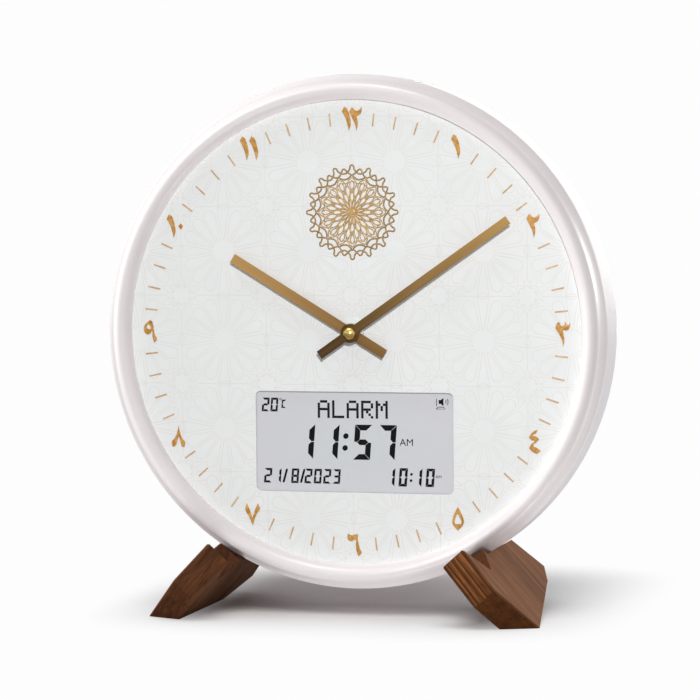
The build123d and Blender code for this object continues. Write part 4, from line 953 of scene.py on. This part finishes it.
def floor_field(tree, middle, half, inner):
    """One over a soft-cornered field of the floor, falling to nought at its edge."""
    place = add(tree, "ShaderNodeMapping", {"vector_type": "TEXTURE"}, Vector=object_place(tree),
                Location=(*middle, 0.0), Scale=(*half, 1.0)).outputs[0]
    square = with_itself(tree, "MULTIPLY", place, "Vector")
    away = math_node(tree, "POWER", with_itself(tree, "DOT_PRODUCT", square, "Value"), 0.25)
    return add(tree, "ShaderNodeMapRange", {"interpolation_type": "SMOOTHSTEP"}, Value=away,
               From_Min=inner, From_Max=1.0, To_Min=1.0, To_Max=0.0).outputs[0]


def floor_white():
    """White floor with the contact shadow's tone, which passes into the backdrop outside its field."""
    material, tree, shader = new_material("floor white")
    seen = tree.nodes.new("ShaderNodeLightPath").outputs["Is Camera Ray"]
    shown = blend_colours(tree, floor_field(tree, *UNDER_FIELD), (1, 1, 1, 1), (*UNDER_TONE, 1))
    bounced = (FLOOR_BOUNCE, FLOOR_BOUNCE, FLOOR_BOUNCE, 1)
    set_inputs(tree, shader, Base_Color=blend_colours(tree, seen, bounced, shown), Roughness=0.9,
               Specular_IOR_Level=0.0)
    far = math_node(tree, "SUBTRACT", 1.0, floor_field(tree, *SHADOW_FIELD))
    glow = add(tree, "ShaderNodeEmission", Color=(1, 1, 1, 1), Strength=BACKDROP).outputs[0]
    mixed = tree.nodes.new("ShaderNodeMixShader")
    tree.links.new(math_node(tree, "MULTIPLY", seen, far), mixed.inputs[0])
    tree.links.new(shader.outputs[0], mixed.inputs[1])
    tree.links.new(glow, mixed.inputs[2])
    tree.links.new(mixed.outputs[0], tree.nodes["Material Output"].inputs["Surface"])
    return material


def backdrop():
    """White to the eye, in mirrors and through glass, and dimmer as a light."""
    world = bpy.data.worlds.new("studio")
    world.use_nodes = True
    bpy.context.scene.world = world
    tree = world.node_tree
    path = tree.nodes.new("ShaderNodeLightPath").outputs
    plain = math_node(tree, "ADD", path["Is Camera Ray"], path["Is Transmission Ray"], clamp=True)
    plain = math_node(tree, "ADD", plain, path["Is Glossy Ray"], clamp=True)
    set_inputs(tree, tree.nodes["Background"], Color=(1, 1, 1, 1),
               Strength=ranged(tree, plain, 0.0, 1.0, ROOM_LIGHT, BACKDROP))


def linked(name, objects, way):
    """A list of objects that a lamp keeps to, or leaves out."""
    held = bpy.data.collections.new(name)
    for obj in objects:
        held.objects.link(obj)
    for entry in held.collection_objects:
        entry.light_linking.link_state = way
    return held


def stage():
    """Seamless pale floor, the white behind it, and the lamps."""
    bm = bmesh.new()
    bmesh.ops.create_grid(bm, x_segments=1, y_segments=1, size=FLOOR_SIZE)
    mesh = bpy.data.meshes.new("floor")
    bm.to_mesh(mesh)
    bm.free()
    floor = bpy.data.objects.new("floor", mesh)
    bpy.context.scene.collection.objects.link(floor)
    mesh.materials.append(floor_white())
    backdrop()
    lit = {"drum": frame["nodes"]["rear_case"], "bezel": bpy.data.objects["bezel_ring"], "floor": floor,
           "left": bpy.data.objects["left_foot_finished"], "right": bpy.data.objects["right_foot_finished"]}
    for name, spot, size, power, way, names in LAMPS:
        light = bpy.data.lights.new(name, "AREA")
        light.shape, light.size, light.energy = "DISK", size, power
        lamp = bpy.data.objects.new(name, light)
        lamp.location = spot
        lamp.rotation_euler = (DIAL_CENTRE - Vector(spot)).to_track_quat("-Z", "Y").to_euler()
        bpy.context.scene.collection.objects.link(lamp)
        chosen = [lit[thing] for thing in names.split()]
        lamp.light_linking.receiver_collection = linked(name + " lights", chosen, way)
        if spot[2] < 0:
            lamp.light_linking.blocker_collection = linked(name + " passes", [floor], "EXCLUDE")


# ---------------------------------------------------------------- camera
CAMERA_YAW, CAMERA_RISE, CAMERA_ROLL = 15.0, 3.5, -0.45     # degrees round, above and about the view
CAMERA_DISTANCE = 1.875
LENS = 165.8
AIM_RIGHT, AIM_UP = -1.9, -10.05      # millimetres from the dial's centre


def camera():
    yaw, rise = radians(CAMERA_YAW), radians(CAMERA_RISE)
    away = Vector((sin(yaw) * cos(rise), -cos(yaw) * cos(rise), sin(rise)))
    right = Vector((cos(yaw), sin(yaw), 0))
    up = right.cross(-away)
    aim = DIAL_CENTRE + (right * AIM_RIGHT + up * AIM_UP) * MM
    data = bpy.data.cameras.new("view")
    data.lens, data.sensor_width = LENS, 36.0
    view = bpy.data.objects.new("view", data)
    view.location = aim + away * CAMERA_DISTANCE
    turned = (-away).to_track_quat("-Z", "Y").to_matrix() @ Matrix.Rotation(radians(CAMERA_ROLL), 3, "Z")
    view.rotation_euler = turned.to_euler()
    bpy.context.scene.collection.objects.link(view)
    bpy.context.scene.camera = view


# ---------------------------------------------------------------- assembly
STEM_NODES = ("stem_nut", "stem_washer", "stem_bush")         # lacquered white under the hands
LEFT_GRAIN = Vector((0.3, 0.05, 0))   # the left plank is cut from elsewhere in the wood


def finish_nodes():
    """Gives every CAD node the material of its slot."""
    for part in frame["record"]["subparts"]:
        mesh = frame["nodes"][part["node"]].data
        mesh.materials.clear()
        mesh.materials.append(FINISH["stem" if part["node"] in STEM_NODES else part["material_slot"]])


finish_nodes()
dial_ticks()
dial_numerals()
medallion()
dial_lattice()
display_marks()
smooth_bezel()
domed_nut()
for node, train, reach, clockwise, near, far in HANDS:
    gold = hand_gold(node + " gold", clockwise, reach, near, far)
    softened(node, train, gold, HAND_EDGE, 2)
softened("right_foot", "case", walnut("right walnut", 180 - FOOT_SPLAY), FOOT_EDGE)
# The left foot's darker walnut tones are painted shade: the same wood as the right foot, darkened where its
# plank is less lit.
left_wood_painted_shade = walnut("left walnut", 180 + FOOT_SPLAY, DIAL_CENTRE + LEFT_GRAIN, lines=0.25, ends=0.15,
                   dark="452818", light="6b4128")
softened("left_foot", "case", left_wood_painted_shade, FOOT_EDGE)
stage()
camera()

scene = bpy.context.scene
scene.view_settings.view_transform = "Standard"
